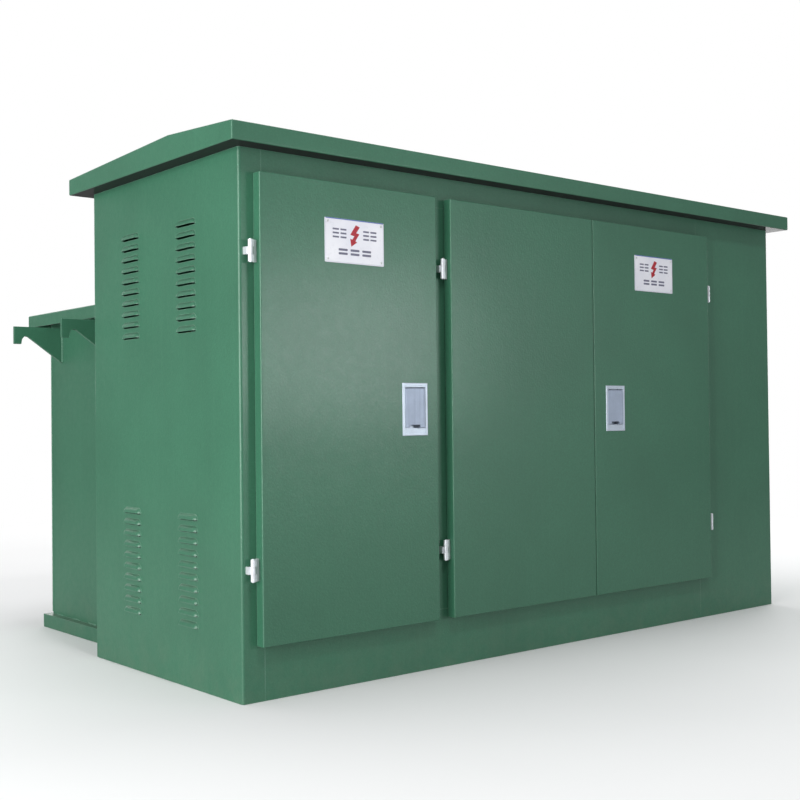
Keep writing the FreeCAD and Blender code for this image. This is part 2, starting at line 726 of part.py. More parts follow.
tt = c.tank_t
tank = new_body()
pad(tank, "XY", [rect(c.tank_in, tank_rx, c.cab_d, c.tank_back)], c.tank_lo, c.tank_hi)
pad(tank, "XY", [rect(c.tank_in - 50, tank_rx + 50, c.cab_d + 4, c.tank_back + 50)], c.tank_hi - 8, c.tank_hi)
pocket(tank, "XY", [rect(c.tank_in + tt, tank_rx - tt, c.cab_d + tt, c.tank_back - tt)], c.tank_lo + 8, c.tank_hi - 8)
pocket(tank, "XY", [rect(c.tank_in + 22, tank_rx - 22, c.cab_d + 44, c.tank_back - 22)], c.tank_hi - 12, c.tank_hi + 1)
pocket(tank, "XZ", [("circle", x, fuse_z, 24.5) for x in fuse_x] + [("circle", x, hv_z, 21) for x in hv_x] +
       [("circle", x, lv_z, 26) for x in lv_x], c.cab_d - 1, c.cab_d + tt + 1)

# Cover bolts stand in one row on each side.
bolts = []
for i in range(10):
    bolts.append((150 + i * (c.cab_w.v - 300) / 9, c.tank_back.v + 28))
for i in range(9):
    bolts.append((215 + i * (c.cab_w.v - 430) / 8, c.cab_d.v + 24))
for y in (c.cab_d.v + 95, c.cab_d.v + 245, c.cab_d.v + 395, c.cab_d.v + 545):
    bolts.append((c.tank_in.v - 28, y))
    bolts.append((c.cab_w.v - c.tank_in.v + 28, y))
bolt_holes = [("circle", x, y, 6.6) for x, y in bolts]
pocket(tank, "XY", bolt_holes, c.tank_hi - 9, c.tank_hi + 1)
node("tank_shell", tank)

gasket = new_body()
pad(gasket, "XY", [rect(c.tank_in - 46, tank_rx + 46, c.cab_d + 5, c.tank_back + 46)], c.tank_hi, c.tank_hi + 4)
pocket(gasket, "XY", [rect(c.tank_in + 26, tank_rx - 26, c.cab_d + 42, c.tank_back - 26)], c.tank_hi - 1, c.tank_hi + 5)
pocket(gasket, "XY", bolt_holes, c.tank_hi - 1, c.tank_hi + 5)
node("tank_gasket", gasket)

cover = new_body()
kx0, kx1, ky1 = c.tank_in - c.cover_out, tank_rx + c.cover_out, c.tank_back + c.cover_out
pad(cover, "XY", [rect(kx0, kx1, c.cab_d + 4, ky1)], c.cover_lo, c.cover_hi)
fillet(cover, 5, lambda e, m: (abs(m.z - (c.cover_lo.v + c.cover_hi.v) / 2) < 1 and m.y > c.cab_d.v + 50) or
       (abs(m.z - c.cover_hi.v) < 0.01 and m.y > c.cab_d.v + 50))
pocket(cover, "XY", [rect(kx0 + 4, kx1 - 4, c.cab_d + 3, ky1 - 4)], c.cover_lo - 1, c.tank_hi + 4)
pocket(cover, "XY", bolt_holes, c.tank_hi, c.cover_hi + 1)
node("tank_cover", cover)


def hexagon(cx, cy, z, across, tall):
    r = across / math.sqrt(3)
    pts = [V(cx + r * math.cos(math.radians(60 * k)), cy + r * math.sin(math.radians(60 * k)), z) for k in range(7)]
    pts[6] = pts[0]
    return Part.Face(Part.makePolygon(pts)).extrude(V(0, 0, tall))


bolt_shapes = []
for x, y in bolts:
    under, over = c.tank_hi.v - 8, c.cover_hi.v
    dome = Part.makeCylinder(11, 2.4, V(x, y, over))
    dome = dome.makeFillet(1.8, [e for e in dome.Edges if abs(e.Vertexes[0].Point.z - over - 2.4) < 1e-6 and len(e.Vertexes) == 1])
    neck = Part.makeBox(11.6, 11.6, 2.0, V(x - 5.8, y - 5.8, over - 1.9)).common(Part.makeCylinder(6.5, 3, V(x, y, over - 2)))
    shank = Part.makeCylinder(6, over + 1 - (under - 18), V(x, y, under - 18))
    washer = Part.makeCylinder(12, 2, V(x, y, under - 2.5 + 0.5))
    nut = hexagon(x, y, under - 12.5, 19, 10.5)
    bolt_shapes.append(shank.fuse([dome, neck, washer, nut]).removeSplitter())
feature("cover_bolts", Part.makeCompound(bolt_shapes))


# Channel rails under the tank, standing out past its walls.
def rail_profile(u0, u1, out_low):
    """Channel section with its web on the outer side."""
    if out_low:
        return [(u0, 0), (u1, 0), (u1, 5), (u0 + 5, 5), (u0 + 5, c.tank_lo - 5), (u1, c.tank_lo - 5),
                (u1, c.tank_lo), (u0, c.tank_lo)]
    return [(u0, 0), (u1, 0), (u1, c.tank_lo), (u0, c.tank_lo), (u0, c.tank_lo - 5), (u1 - 5, c.tank_lo - 5),
            (u1 - 5, 5), (u0, 5)]


node("tank_base_rails", group(
    prism("XZ", [rail_profile(c.tank_in - 28, c.tank_in + 32, True)], c.cab_d + 2, c.tank_back + 17),
    prism("XZ", [rail_profile(tank_rx - 32, tank_rx + 28, False)], c.cab_d + 2, c.tank_back + 17),
    prism("YZ", [rail_profile(c.tank_back - 43, c.tank_back + 17, False)], c.tank_in + 33, tank_rx - 33),
    prism("YZ", [rail_profile(c.cab_d + 2, c.cab_d + 52, True)], c.tank_in + 33, tank_rx - 33)))


# Lifting hooks: flat gussets square to the tank's side, turned down at the tip.
def hook(y):
    wx = c.tank_in
    tip = c.tank_in - c.hook_out
    b = new_body()
    pad(b, "XZ", [[(wx, 921), (wx, 1043), (tip, 1043), (tip, 984), (tip + 24, 984), (tip + 27, 1001),
                   (tip + 36, 1011), (tip + 48, 1009)]], y - 5, y + 5)
    return b


hook_a, hook_b = hook(c.hook_ya), hook(c.hook_yb)
node("lifting_hooks", group(hook_a, hook_b, mirror_x(hook_a), mirror_x(hook_b)))


# Radiators: pressed panels threaded on two header pipes, with short pipes back
# to flanges on the tank's rear wall.
def radiator(x_first, count):
    ym = (c.rad_front.v + c.rad_back.v) / 2
    pieces = []
    lo, hi, th = c.rad_lo.v, c.rad_hi.v, c.rad_t.v
    for i in range(count):
        x = x_first + i * c.rad_pitch.v
        p = solid_box(x, x + th, c.rad_front.v, c.rad_back.v, lo, hi)
        p = p.makeFillet(5.5, [e for e in p.Edges if abs(e.Vertexes[0].Point.x - e.Vertexes[-1].Point.x) < 1e-6
                               and abs(e.Vertexes[0].Point.y - e.Vertexes[-1].Point.y) < 1e-6])
        for k in range(4):
            y = c.rad_front.v + 27.5 + 55 * k
            rib = Part.makeCylinder(14, hi - lo - 140, V(x + th / 2, y, lo + 70))
            rib = rib.common(solid_box(x - 3, x + th + 3, y - 20, y + 20, lo, hi))
            p = p.fuse(rib)
        pieces.append(p)
    width = (count - 1) * c.rad_pitch.v + th
    for z in (lo + 45, hi - 45):
        pieces.append(Part.makeCylinder(30, width + 30, V(x_first - 15, ym, z), V(1, 0, 0)))
        pieces.append(Part.makeCylinder(26, ym - c.tank_back.v, V(x_first + width / 2, c.tank_back.v, z), V(0, 1, 0)))
        pieces.append(Part.makeCylinder(48, 12, V(x_first + width / 2, c.tank_back.v, z), V(0, 1, 0)))
    return pieces[0].fuse(pieces[1:]).removeSplitter()


rad_left = radiator(305, 14)
feature("radiator_left", rad_left)
feature("radiator_right", rad_left.mirror(V(half_w.v, 0, 0), V(1, 0, 0)))

# ------------------------------------------------------ core and windings
ym = (c.cab_d + c.tank_back) / 2
limbs = (775, 1175, 1575)
core = new_body()
pad(core, "XZ", [rect(695, 1655, 130, 950), rect(850, 1100, 280, 800), rect(1250, 1500, 280, 800)],
    ym - 75, ym + 75)
node("core", core)
beams = []
for z in (150, 830):
    for y0, sgn in ((ym - 77, -1), (ym + 77, 1)):
        if sgn < 0:
            beams.append(prism("XY", [rect(670, 1680, y0 - 10, y0)], z, z + 100))
        else:
            beams.append(prism("XY", [rect(670, 1680, y0, y0 + 10)], z, z + 100))
for x in (680, 1670):
    for z in (200, 880):
        beams.append(rod("y", 7, x, ym - 77, z, 154))
# Feet that carry the clamped core on the tank's bottom plate.
for x in (760, 1530):
    beams.append(box(x, x + 60, ym - 110, ym + 110, c.tank_lo + 8, 129.5))
node("core_clamps", group(*beams))


def tube(x, r0, r1, z0, z1):
    return cut(rod("z", r1, x, ym, z0, z1 - z0), rod("z", r0, x, ym, z0 - 1, z1 - z0 + 2))


node("lv_windings", group(*[tube(x, 110, 138, 300, 780) for x in limbs]))
node("hv_windings", group(*[tube(x, 150, 190, 310, 770) for x in limbs]))

# --------------------------------------------- high-voltage compartment fittings
w = c.cab_d           # tank front wall plane
node("hv_bushings", group(*[lathe([(-70, 0), (-70, 16), (-6, 16), (-6, 20), (0, 20), (0, 46), (10, 46), (12, 33),
                                   (34, 31), (34, 36), (40, 36), (42, 29), (62, 28), (62, 33), (68, 33), (70, 25),
                                   (118, 21), (118, 8), (150, 8), (150, 0)], x, w, hv_z) for x in hv_x]))
node("fuse_wells", group(*[cut(lathe([(-150, 0), (-150, 24), (0, 24), (0, 42), (9, 42), (9, 27), (84, 25),
                                      (90, 25), (90, 0)], x, w, fuse_z),
                               rod("y", 19.5, x, w - 95, fuse_z, 240)) for x in fuse_x]))


def fuse_holder(x):
    """Draw-out cartridge with a cap and a hook-stick eye."""
    body = lathe([(-130, 0), (-130, 17), (-128, 19), (90.5, 19), (90.5, 29), (106, 29), (110, 24), (116, 8),
                  (122, 8), (122, 0)], x, w, fuse_z)
    ring = cut(rod("x", 17, x - 4, w - 137, fuse_z, 8), rod("x", 9, x - 6, w - 137, fuse_z, 12))
    return fuse(body, ring)


node("fuse_holder_a", fuse_holder(fuse_x[0]))
node("fuse_holder_b", fuse_holder(fuse_x[1]))
node("fuse_holder_c", fuse_holder(fuse_x[2]))

sw_x, sw_z = 565, 955
node("switch_boss", lathe([(0, 0), (0, 42), (10, 42), (10, 30), (26, 28), (26, 12), (56, 12), (56, 16), (60, 16),
                           (60, 0)], sw_x, w, sw_z))
node("switch_handle", cut(fuse(rod("y", 22, sw_x, w - 54, sw_z, 26),
                               box(sw_x - 11, sw_x + 11, w - 48, w - 34, sw_z, sw_z + 66),
                               rod("y", 17, sw_x, w - 48, sw_z + 72, 14)),
                          rod("y", 12.5, sw_x, w - 70, sw_z, 60),
                          rod("y", 9, sw_x, w - 60, sw_z + 72, 40)))
tap_z = 760
node("tap_boss", lathe([(0, 0), (0, 38), (8, 38), (8, 26), (24, 25), (24, 8), (50, 8), (50, 11), (54, 11), (54, 0)],
                       sw_x, w, tap_z))
node("tap_knob", cut(fuse(rod("y", 30, sw_x, w - 48, tap_z, 22), box(sw_x - 5, sw_x + 5, w - 50, w - 40, tap_z, tap_z + 40)),
                     rod("y", 8.5, sw_x, w - 60, tap_z, 60)))
lg_x, lg_z = 200, 985
node("level_gauge", fuse(lathe([(0, 0), (0, 36), (30, 36), (30, 31), (20, 31), (20, 0)], lg_x, w, lg_z),
                         rod("y", 1.5, lg_x, w - 28, lg_z, 10)))
node("level_needle", cut(fuse(rod("y", 4.5, lg_x, w - 26, lg_z, 2.4), box(lg_x - 1.5, lg_x + 1.5, w - 26, w - 24, lg_z, lg_z + 26),
                              box(lg_x - 2, lg_x + 2, w - 26, w - 24, lg_z - 10, lg_z)),
                         rod("y", 1.9, lg_x, w - 40, lg_z, 30)))
rv_x = 330
node("relief_valve", cut(lathe([(0, 0), (0, 22), (8, 22), (8, 15), (44, 15), (48, 11), (48, 0)], rv_x, w, lg_z),
                         rod("y", 4.5, rv_x, w - 50, lg_z, 32)))
node("relief_ring", fuse(rod("y", 4, rv_x, w - 60, lg_z, 30),
                         cut(rod("x", 16, rv_x - 2.5, w - 74, lg_z, 5), rod("x", 11.5, rv_x - 4, w - 74, lg_z, 8))))
dv_x, dv_z = 240, 160
node("drain_valve", fuse(rod("y", 22, dv_x, w - 8, dv_z, 8), rod("y", 13, dv_x, w - 60, dv_z, 60),
                         rod("y", 20, dv_x, w - 56, dv_z, 30), rod("z", 6, dv_x, w - 41, dv_z, 38),
                         rod("y", 17, dv_x, w - 74, dv_z, 14)))
node("drain_lever", cut(fuse(rod("z", 12, dv_x, w - 41, dv_z + 24, 10), box(dv_x, dv_x + 95, w - 49, w - 33, dv_z + 30, dv_z + 34)),
                        rod("z", 6.5, dv_x, w - 41, dv_z + 20, 30)))
node("earth_bar", fuse(box(400, 620, w - 32, w - 26, 125, 155), box(420, 440, w - 27, w, 130, 150),
                       box(580, 600, w - 27, w, 130, 150),
                       *[rod("y", 6, x, w - 52, 140, 22) for x in (460, 500, 540)]))

# ---------------------------------------------- low-voltage compartment fittings
node("lv_bushings", group(*[lathe([(-60, 0), (-60, 18), (-6, 18), (-6, 25), (0, 25), (0, 42), (10, 42), (12, 32), (60, 28),
                                   (60, 20), (66, 20), (66, 12), (81, 12), (112, 12), (112, 0)], x, w, lv_z) for x in lv_x]))
pole = (1070, 1140, 1210)
bars = []
for xb, xt in zip(lv_x[:3], pole):
    bars.append(cut(prism("XZ", [[(xb - 22, lv_z + 28), (xb - 22, lv_z - 30), (xt - 18, 655), (xt - 18, 592),
                                  (xt + 18, 592), (xt + 18, 655), (xb + 22, lv_z - 30), (xb + 22, lv_z + 28)]],
                          w - 76, w - 68), rod("y", 12.6, xb, w - 90, lv_z, 40)))
bars.append(cut(prism("XZ", [rect(lv_x[3] - 22, lv_x[3] + 22, 600, lv_z + 28)], w - 76, w - 68),
                rod("y", 12.6, lv_x[3], w - 90, lv_z, 40),
                rod("y", 7, lv_x[3], w - 90, 625, 40), rod("y", 7, lv_x[3], w - 90, 665, 40)))
node("lv_busbars", group(*bars))
brk = new_body()
pad(brk, "XZ", [rect(1035, 1245, 330, 590)], w - 106, w)
fillet(brk, 4, lambda e, m: abs(m.y - (w.v - 106)) < 0.01)
pad(brk, "XZ", [rect(1100, 1180, 400, 520)], w - 116, w - 105)
pocket(brk, "XZ", [rect(1124, 1156, 425, 495)], w - 118, w - 78)
tabs = [box(x - 16, x + 16, w - 68, w - 60, 588, 650) for x in pole]
tabs += [cut(box(x - 16, x + 16, w - 68, w - 60, 270, 332), rod("y", 6.5, x, w - 80, 290, 40)) for x in pole]
node("lv_breaker", fuse(brk, *tabs))
node("breaker_handle", fuse(box(1129, 1151, w - 138, w - 90, 453, 467), rod("x", 7, 1129, w - 90, 460, 22)))

# ------------------------------------------------------------ check and write
doc.recompute()
bad = []
for o in doc.Objects:
    if "Invalid" in o.State or "Error" in o.State:
        bad.append("%s (%s) %s" % (o.Name, o.Label, o.State))
for o in nodes:
    if o.Shape.isNull() or not o.Shape.isValid() or len(o.Shape.Solids) == 0:
        bad.append("%s has a bad shape" % o.Label)
labels = [o.Label for o in nodes]
if len(set(labels)) != len(labels):
    bad.append("two sub-parts share a name")
if bad:
    raise RuntimeError("; ".join(bad))

os.makedirs("parts", exist_ok=True)
for o in nodes:
    o.Shape.exportStep("parts/%s.step" % o.Label)
whole = FreeCAD.BoundBox()
for o in nodes:
    whole.add(o.Shape.BoundBox)
print("%d nodes, box %.1f %.1f %.1f to %.1f %.1f %.1f" % (
    len(nodes), whole.XMin, whole.YMin, whole.ZMin, whole.XMax, whole.YMax, whole.ZMax))
for o in nodes:
    print("%-28s solids %3d  volume %10.1f cm3" % (o.Label, len(o.Shape.Solids), o.Shape.Volume / 1000.0))
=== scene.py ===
import json
import math

import bmesh
import bpy
from mathutils import Matrix, Vector


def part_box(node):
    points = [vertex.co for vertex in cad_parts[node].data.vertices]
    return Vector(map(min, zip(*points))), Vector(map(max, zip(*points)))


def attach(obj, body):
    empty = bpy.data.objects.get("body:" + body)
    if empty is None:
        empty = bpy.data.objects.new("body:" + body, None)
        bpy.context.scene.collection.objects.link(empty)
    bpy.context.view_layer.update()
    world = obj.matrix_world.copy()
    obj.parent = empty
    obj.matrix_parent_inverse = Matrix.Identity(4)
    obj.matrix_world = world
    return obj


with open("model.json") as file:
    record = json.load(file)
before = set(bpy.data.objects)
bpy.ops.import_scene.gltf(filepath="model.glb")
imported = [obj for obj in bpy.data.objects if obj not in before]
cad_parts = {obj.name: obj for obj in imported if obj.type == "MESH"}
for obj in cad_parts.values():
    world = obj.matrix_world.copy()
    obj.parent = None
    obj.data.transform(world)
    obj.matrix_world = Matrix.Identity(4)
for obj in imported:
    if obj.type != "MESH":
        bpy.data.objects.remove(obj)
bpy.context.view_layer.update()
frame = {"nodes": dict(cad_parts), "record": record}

WORLD = 0.25
NODES = frame["nodes"]
RECORD = frame["record"]
SLOT_OF = {s["node"]: s["material_slot"] for s in RECORD["subparts"]}
MM = 0.001


# ------------------------------------------------------------------ materials
class Look:
    """A small builder for one procedural material around a Principled shader."""

    def __init__(self, name, **fixed):
        self.m = bpy.data.materials.new(name)
        self.m.use_nodes = True
        self.t = self.m.node_tree
        self.t.nodes.clear()
        self.out = self.n("ShaderNodeOutputMaterial")
        self.b = self.n("ShaderNodeBsdfPrincipled")
        self.link(self.b.outputs[0], self.out.inputs[0])
        self.tc = self.n("ShaderNodeTexCoord")
        self.obj = self.tc.outputs["Object"]
        for k, v in fixed.items():
            self.set(k.replace("_", " "), v)

    def n(self, kind, **props):
        node = self.t.nodes.new(kind)
        for k, v in props.items():
            setattr(node, k, v)
        return node

    def link(self, a, b):
        self.t.links.new(a, b)

    def set(self, socket, value):
        s = self.b.inputs[socket]
        if hasattr(value, "is_output"):
            self.link(value, s)
        elif isinstance(value, (tuple, list)) and len(value) == 3:
            s.default_value = tuple(value) + (1.0,)
        else:
            s.default_value = value

    def put(self, socket, value):
        if hasattr(value, "is_output"):
            self.link(value, socket)
        elif isinstance(value, (tuple, list)) and len(value) == 3 and socket.type == "RGBA":
            socket.default_value = tuple(value) + (1.0,)
        else:
            socket.default_value = value

    def stretch(self, x=1.0, y=1.0, z=1.0, src=None):
        mp = self.n("ShaderNodeMapping")
        mp.inputs["Scale"].default_value = (x, y, z)
        self.link(src or self.obj, mp.inputs["Vector"])
        return mp.outputs[0]

    def noise(self, scale, detail=2.0, rough=0.5, vec=None, distortion=0.0):
        t = self.n("ShaderNodeTexNoise")
        t.inputs["Scale"].default_value = scale
        t.inputs["Detail"].default_value = detail
        t.inputs["Roughness"].default_value = rough
        t.inputs["Distortion"].default_value = distortion
        self.link(vec or self.obj, t.inputs["Vector"])
        return t.outputs[0]

    def cells(self, scale, vec=None, feature="F1", rand=1.0):
        t = self.n("ShaderNodeTexVoronoi", feature=feature)
        t.inputs["Scale"].default_value = scale
        t.inputs["Randomness"].default_value = rand
        self.link(vec or self.obj, t.inputs["Vector"])
        return t.outputs["Distance"]

    def wave(self, scale, axis="Z", distortion=0.0, profile="SIN", vec=None, detail=0.0, dscale=1.0):
        t = self.n("ShaderNodeTexWave", wave_type="BANDS", bands_direction=axis, wave_profile=profile)
        t.inputs["Scale"].default_value = scale
        t.inputs["Distortion"].default_value = distortion
        t.inputs["Detail"].default_value = detail
        t.inputs["Detail Scale"].default_value = dscale
        self.link(vec or self.obj, t.inputs["Vector"])
        return t.outputs["Fac"]

    def band(self, value, lo, hi, a=0.0, b=1.0):
        m = self.n("ShaderNodeMapRange", clamp=True)
        for k, v in zip(("From Min", "From Max", "To Min", "To Max"), (lo, hi, a, b)):
            m.inputs[k].default_value = v
        self.link(value, m.inputs["Value"])
        return m.outputs[0]

    def math(self, op, a, b=0.0, clamp=False):
        m = self.n("ShaderNodeMath", operation=op, use_clamp=clamp)
        self.put(m.inputs[0], a)
        self.put(m.inputs[1], b)
        return m.outputs[0]

    def mix(self, fac, a, b, blend="MIX"):
        m = self.n("ShaderNodeMix", data_type="RGBA", blend_type=blend)
        self.put(m.inputs[0], fac)
        self.put(m.inputs[6], a)
        self.put(m.inputs[7], b)
        return m.outputs[2]

    def ramp(self, value, stops):
        r = self.n("ShaderNodeValToRGB")
        e = r.color_ramp.elements
        while len(e) < len(stops):
            e.new(0.5)
        for k, (p, col) in enumerate(stops):
            e[k].position = p
            e[k].color = tuple(col) + (1.0,)
        self.link(value, r.inputs[0])
        return r.outputs[0]

    def normal_part(self, axis):
        g = self.n("ShaderNodeNewGeometry")
        tr = self.n("ShaderNodeVectorTransform", vector_type="NORMAL", convert_from="WORLD", convert_to="OBJECT")
        self.link(g.outputs["Normal"], tr.inputs[0])
        sp = self.n("ShaderNodeSeparateXYZ")
        self.link(tr.outputs[0], sp.inputs[0])
        return sp.outputs["XYZ".index(axis)]

    def place(self, axis):
        sp = self.n("ShaderNodeSeparateXYZ")
        self.link(self.obj, sp.inputs[0])
        return sp.outputs["XYZ".index(axis)]

    def edges(self, radius=0.003):
        """0 on a flat, rising towards 1 on a sharp or tightly rounded edge."""
        bv = self.n("ShaderNodeBevel", samples=4)
        bv.inputs["Radius"].default_value = radius
        g = self.n("ShaderNodeNewGeometry")
        d = self.n("ShaderNodeVectorMath", operation="DOT_PRODUCT")
        self.link(bv.outputs[0], d.inputs[0])
        self.link(g.outputs["Normal"], d.inputs[1])
        return self.band(d.outputs["Value"], 0.995, 0.80)

    def bump(self, height, strength=0.3, distance=0.001, before=None):
        bp = self.n("ShaderNodeBump")
        bp.inputs["Strength"].default_value = strength
        bp.inputs["Distance"].default_value = distance
        self.link(height, bp.inputs["Height"])
        if before is not None:
            self.link(before, bp.inputs["Normal"])
        return bp.outputs[0]


def srgb(r, g, b):
    def f(v):
        v /= 255.0
        return v / 12.92 if v <= 0.04045 else ((v + 0.055) / 1.055) ** 2.4
    return (f(r), f(g), f(b))


def paint(name, tone, rough=0.42, peel=1.0, streaks=0.5, dust_and_floor_bounce=0.35, edge_wear_and_highlight=0.25, underside_shade=None, coat=0.26, gloss=0.19):
    """Powder coat: orange peel, faint mottling, rain streaks, settled dirt on what faces up, lighter towards the floor
    (painted floor-bounce light with spattered dirt), lighter edges (wear with painted highlight), near-black painted
    shade on what faces down.
    """
    L = Look(name)
    L.set("IOR", 1.45)
    L.set("Specular IOR Level", 0.46)
    L.set("Coat Weight", coat)
    L.set("Coat Roughness", gloss)
    dark = tuple(v * 0.90 for v in tone)
    light = tuple(min(1.0, v * 1.09) for v in tone)
    big = L.noise(2.6, 4.0, 0.55)
    col = L.mix(L.band(big, 0.33, 0.67), dark, light)
    # mottled grain that goes with the peel
    grain = L.noise(150.0, 3.0, 0.6)
    col = L.mix(L.band(grain, 0.30, 0.72, 0.0, 0.55 * peel), col, tuple(v * 0.80 for v in tone))
    fleck = L.noise(330.0, 2.0, 0.5)
    col = L.mix(L.band(fleck, 0.58, 0.74, 0.0, 0.22 * peel), col, tuple(min(1.0, v * 1.5 + 0.02) for v in tone))
    if streaks:
        run = L.noise(1.0, 4.0, 0.62, vec=L.stretch(38.0, 38.0, 1.1))
        col = L.mix(L.band(run, 0.52, 0.80, 0.0, 0.30 * streaks), col, tuple(v * 0.72 for v in tone))
        run2 = L.noise(1.0, 3.0, 0.55, vec=L.stretch(61.0, 61.0, 1.7))
        col = L.mix(L.band(run2, 0.56, 0.80, 0.0, 0.26 * streaks), col, tuple(min(1.0, v * 1.2 + 0.02) for v in tone))
    if dust_and_floor_bounce:
        up = L.band(L.normal_part("Z"), 0.55, 0.98)
        patch = L.noise(9.0, 5.0, 0.65)
        amount = L.math("MULTIPLY", up, L.band(patch, 0.34, 0.72, 0.25 * dust_and_floor_bounce, dust_and_floor_bounce))
        col = L.mix(amount, col, srgb(150, 160, 146))
        # Lighter towards the floor, in patches: painted floor-bounce light together with spattered dirt.
        near_floor = L.band(L.place("Z"), 0.16, 0.0, 0.0, 0.30 * dust_and_floor_bounce)
        floor_bounce_and_splash = L.math("MULTIPLY", near_floor, L.band(L.noise(16.0, 5.0, 0.7), 0.40, 0.62))
        col = L.mix(floor_bounce_and_splash, col, srgb(128, 132, 116))
    # Lighter paint along edges: wear, together with a painted highlight on the rounded edges.
    if edge_wear_and_highlight:
        e = L.edges(0.0035)
        col = L.mix(L.math("MULTIPLY", e, L.band(L.noise(30.0, 3.0, 0.6), 0.30, 0.60, 0.25 * edge_wear_and_highlight, edge_wear_and_highlight)), col,
                    srgb(176, 200, 190))
    # Near-black colour on what faces down: painted shade beneath eaves, ledges and rims.
    if underside_shade is not None:
        down = L.band(L.normal_part("Z"), -0.93, -0.985)
        col = L.mix(down, col, underside_shade)
    L.set("Base Color", col)
    r = L.band(L.noise(46.0, 4.0, 0.6), 0.25, 0.75, rough - 0.05, rough + 0.09)
    if underside_shade is not None:
        r = L.math("MAXIMUM", r, down)
    L.set("Roughness", r)
    a = L.noise(175.0, 2.0, 0.45)
    b = L.noise(420.0, 1.0, 0.5)
    h = L.math("ADD", L.math("MULTIPLY", a, 0.72), L.math("MULTIPLY", b, 0.28))
    w = L.noise(3.4, 1.0, 0.4)
    waves = L.bump(w, 0.10, 0.003)
    L.set("Normal", L.bump(h, 0.52 * peel, 0.0011, before=waves))
    return L.m


def metal(name, tone, rough=0.32, brush=None, patina=None, patina_amount=0.3, grain=0.25, metallic=1.0):
    L = Look(name, Metallic=metallic)
    col = L.mix(L.band(L.noise(24.0, 4.0, 0.6), 0.3, 0.7), tuple(v * 0.90 for v in tone),
                tuple(min(1.0, v * 1.06) for v in tone))
    if brush:
        s = {"x": (4.0, 700.0, 700.0), "y": (700.0, 4.0, 700.0), "z": (700.0, 700.0, 4.0)}[brush]
        lines = L.noise(1.0, 2.0, 0.6, vec=L.stretch(*s))
    else:
        lines = L.noise(650.0, 2.0, 0.6)
    col = L.mix(L.band(lines, 0.30, 0.70, 0.0, 0.30), col, tuple(v * 0.72 for v in tone))
    if patina is not None:
        spots = L.band(L.noise(38.0, 6.0, 0.7), 0.46, 0.68, 0.0, patina_amount)
        col = L.mix(spots, col, patina)
    e = L.edges(0.0012)
    col = L.mix(L.math("MULTIPLY", e, 0.5), col, tuple(min(1.0, v * 1.25 + 0.08) for v in tone))
    L.set("Base Color", col)
    L.set("Roughness", L.band(lines, 0.25, 0.75, rough - 0.06, rough + 0.12))
    L.set("Normal", L.bump(lines, grain, 0.0003))
    return L.m


def moulded(name, tone, rough=0.45, coat=0.0, grain=480.0, strength=0.15, mottle=0.08, edge=0.3):
    L = Look(name)
    if coat:
        L.set("Coat Weight", coat)
        L.set("Coat Roughness", 0.12)
    col = L.mix(L.band(L.noise(14.0, 4.0, 0.6), 0.3, 0.7), tuple(v * (1 - mottle) for v in tone),
                tuple(min(1.0, v * (1 + mottle)) for v in tone))
    e = L.edges(0.0015)
    col = L.mix(L.math("MULTIPLY", e, edge), col, tuple(min(1.0, v * 1.5 + 0.05) for v in tone))
    L.set("Base Color", col)
    f = L.noise(grain, 3.0, 0.6)
    L.set("Roughness", L.band(f, 0.3, 0.7, rough - 0.06, rough + 0.06))
    L.set("Normal", L.bump(f, strength, 0.0005))
    return L.m


GREEN = (0.042, 0.158, 0.092)
M = {}
# Its near-black downward faces are painted shade beneath the roof's overhang and ledges.
M["enclosure_paint"] = paint("cabinet_powder_coat", GREEN, rough=0.40, underside_shade=(0.003, 0.004, 0.0035))
M["door_paint"] = paint("door_powder_coat", tuple(v * 0.98 for v in GREEN), rough=0.37, peel=1.2, streaks=0.35)
# Its dark reddish downward faces are painted shade beneath the cover rim and flange.
M["tank_paint"] = paint("tank_paint", tuple(v * 0.97 for v in GREEN), rough=0.46, peel=0.9, streaks=0.6, edge_wear_and_highlight=0.2, underside_shade=(0.016, 0.007, 0.006))
M["base_paint"] = moulded("base_primer", (0.030, 0.034, 0.034), rough=0.62, grain=300.0, strength=0.3, mottle=0.25)
M["hinge_zinc"] = metal("bright_zinc", (0.83, 0.86, 0.90), rough=0.42, grain=0.15, metallic=0.55)
M["latch_satin"] = metal("satin_chrome", (0.36, 0.42, 0.53), rough=0.42, brush="z", grain=0.10, metallic=0.35)
LATCH_RIM = metal("bright_chrome", (0.53, 0.60, 0.69), rough=0.34, grain=0.08, metallic=0.35)
M["bolt_zinc"] = metal("zinc_plate", (0.58, 0.58, 0.55), rough=0.40, patina=(0.30, 0.28, 0.24), patina_amount=0.35)
M["fitting_steel"] = metal("machined_steel", (0.55, 0.56, 0.57), rough=0.30, patina=(0.28, 0.22, 0.17), patina_amount=0.18)
M["clamp_steel"] = moulded("clamp_primer", (0.080, 0.030, 0.022), rough=0.6, grain=260.0, strength=0.3, mottle=0.2)
M["valve_brass"] = metal("cast_brass", (0.62, 0.44, 0.18), rough=0.38, patina=(0.22, 0.14, 0.06), patina_amount=0.4, grain=0.4)
M["gauge_body"] = metal("cast_aluminium", (0.62, 0.63, 0.63), rough=0.46, grain=0.4)
M["epoxy_grey"] = moulded("grey_epoxy", (0.135, 0.145, 0.155), rough=0.28, coat=0.5)
M["breaker_plastic"] = moulded("black_moulding", (0.018, 0.019, 0.020), rough=0.5, strength=0.35)
M["handle_red"] = moulded("red_moulding", (0.42, 0.020, 0.014), rough=0.3, coat=0.4)
M["needle_red"] = moulded("pointer_red", (0.52, 0.020, 0.012), rough=0.45)


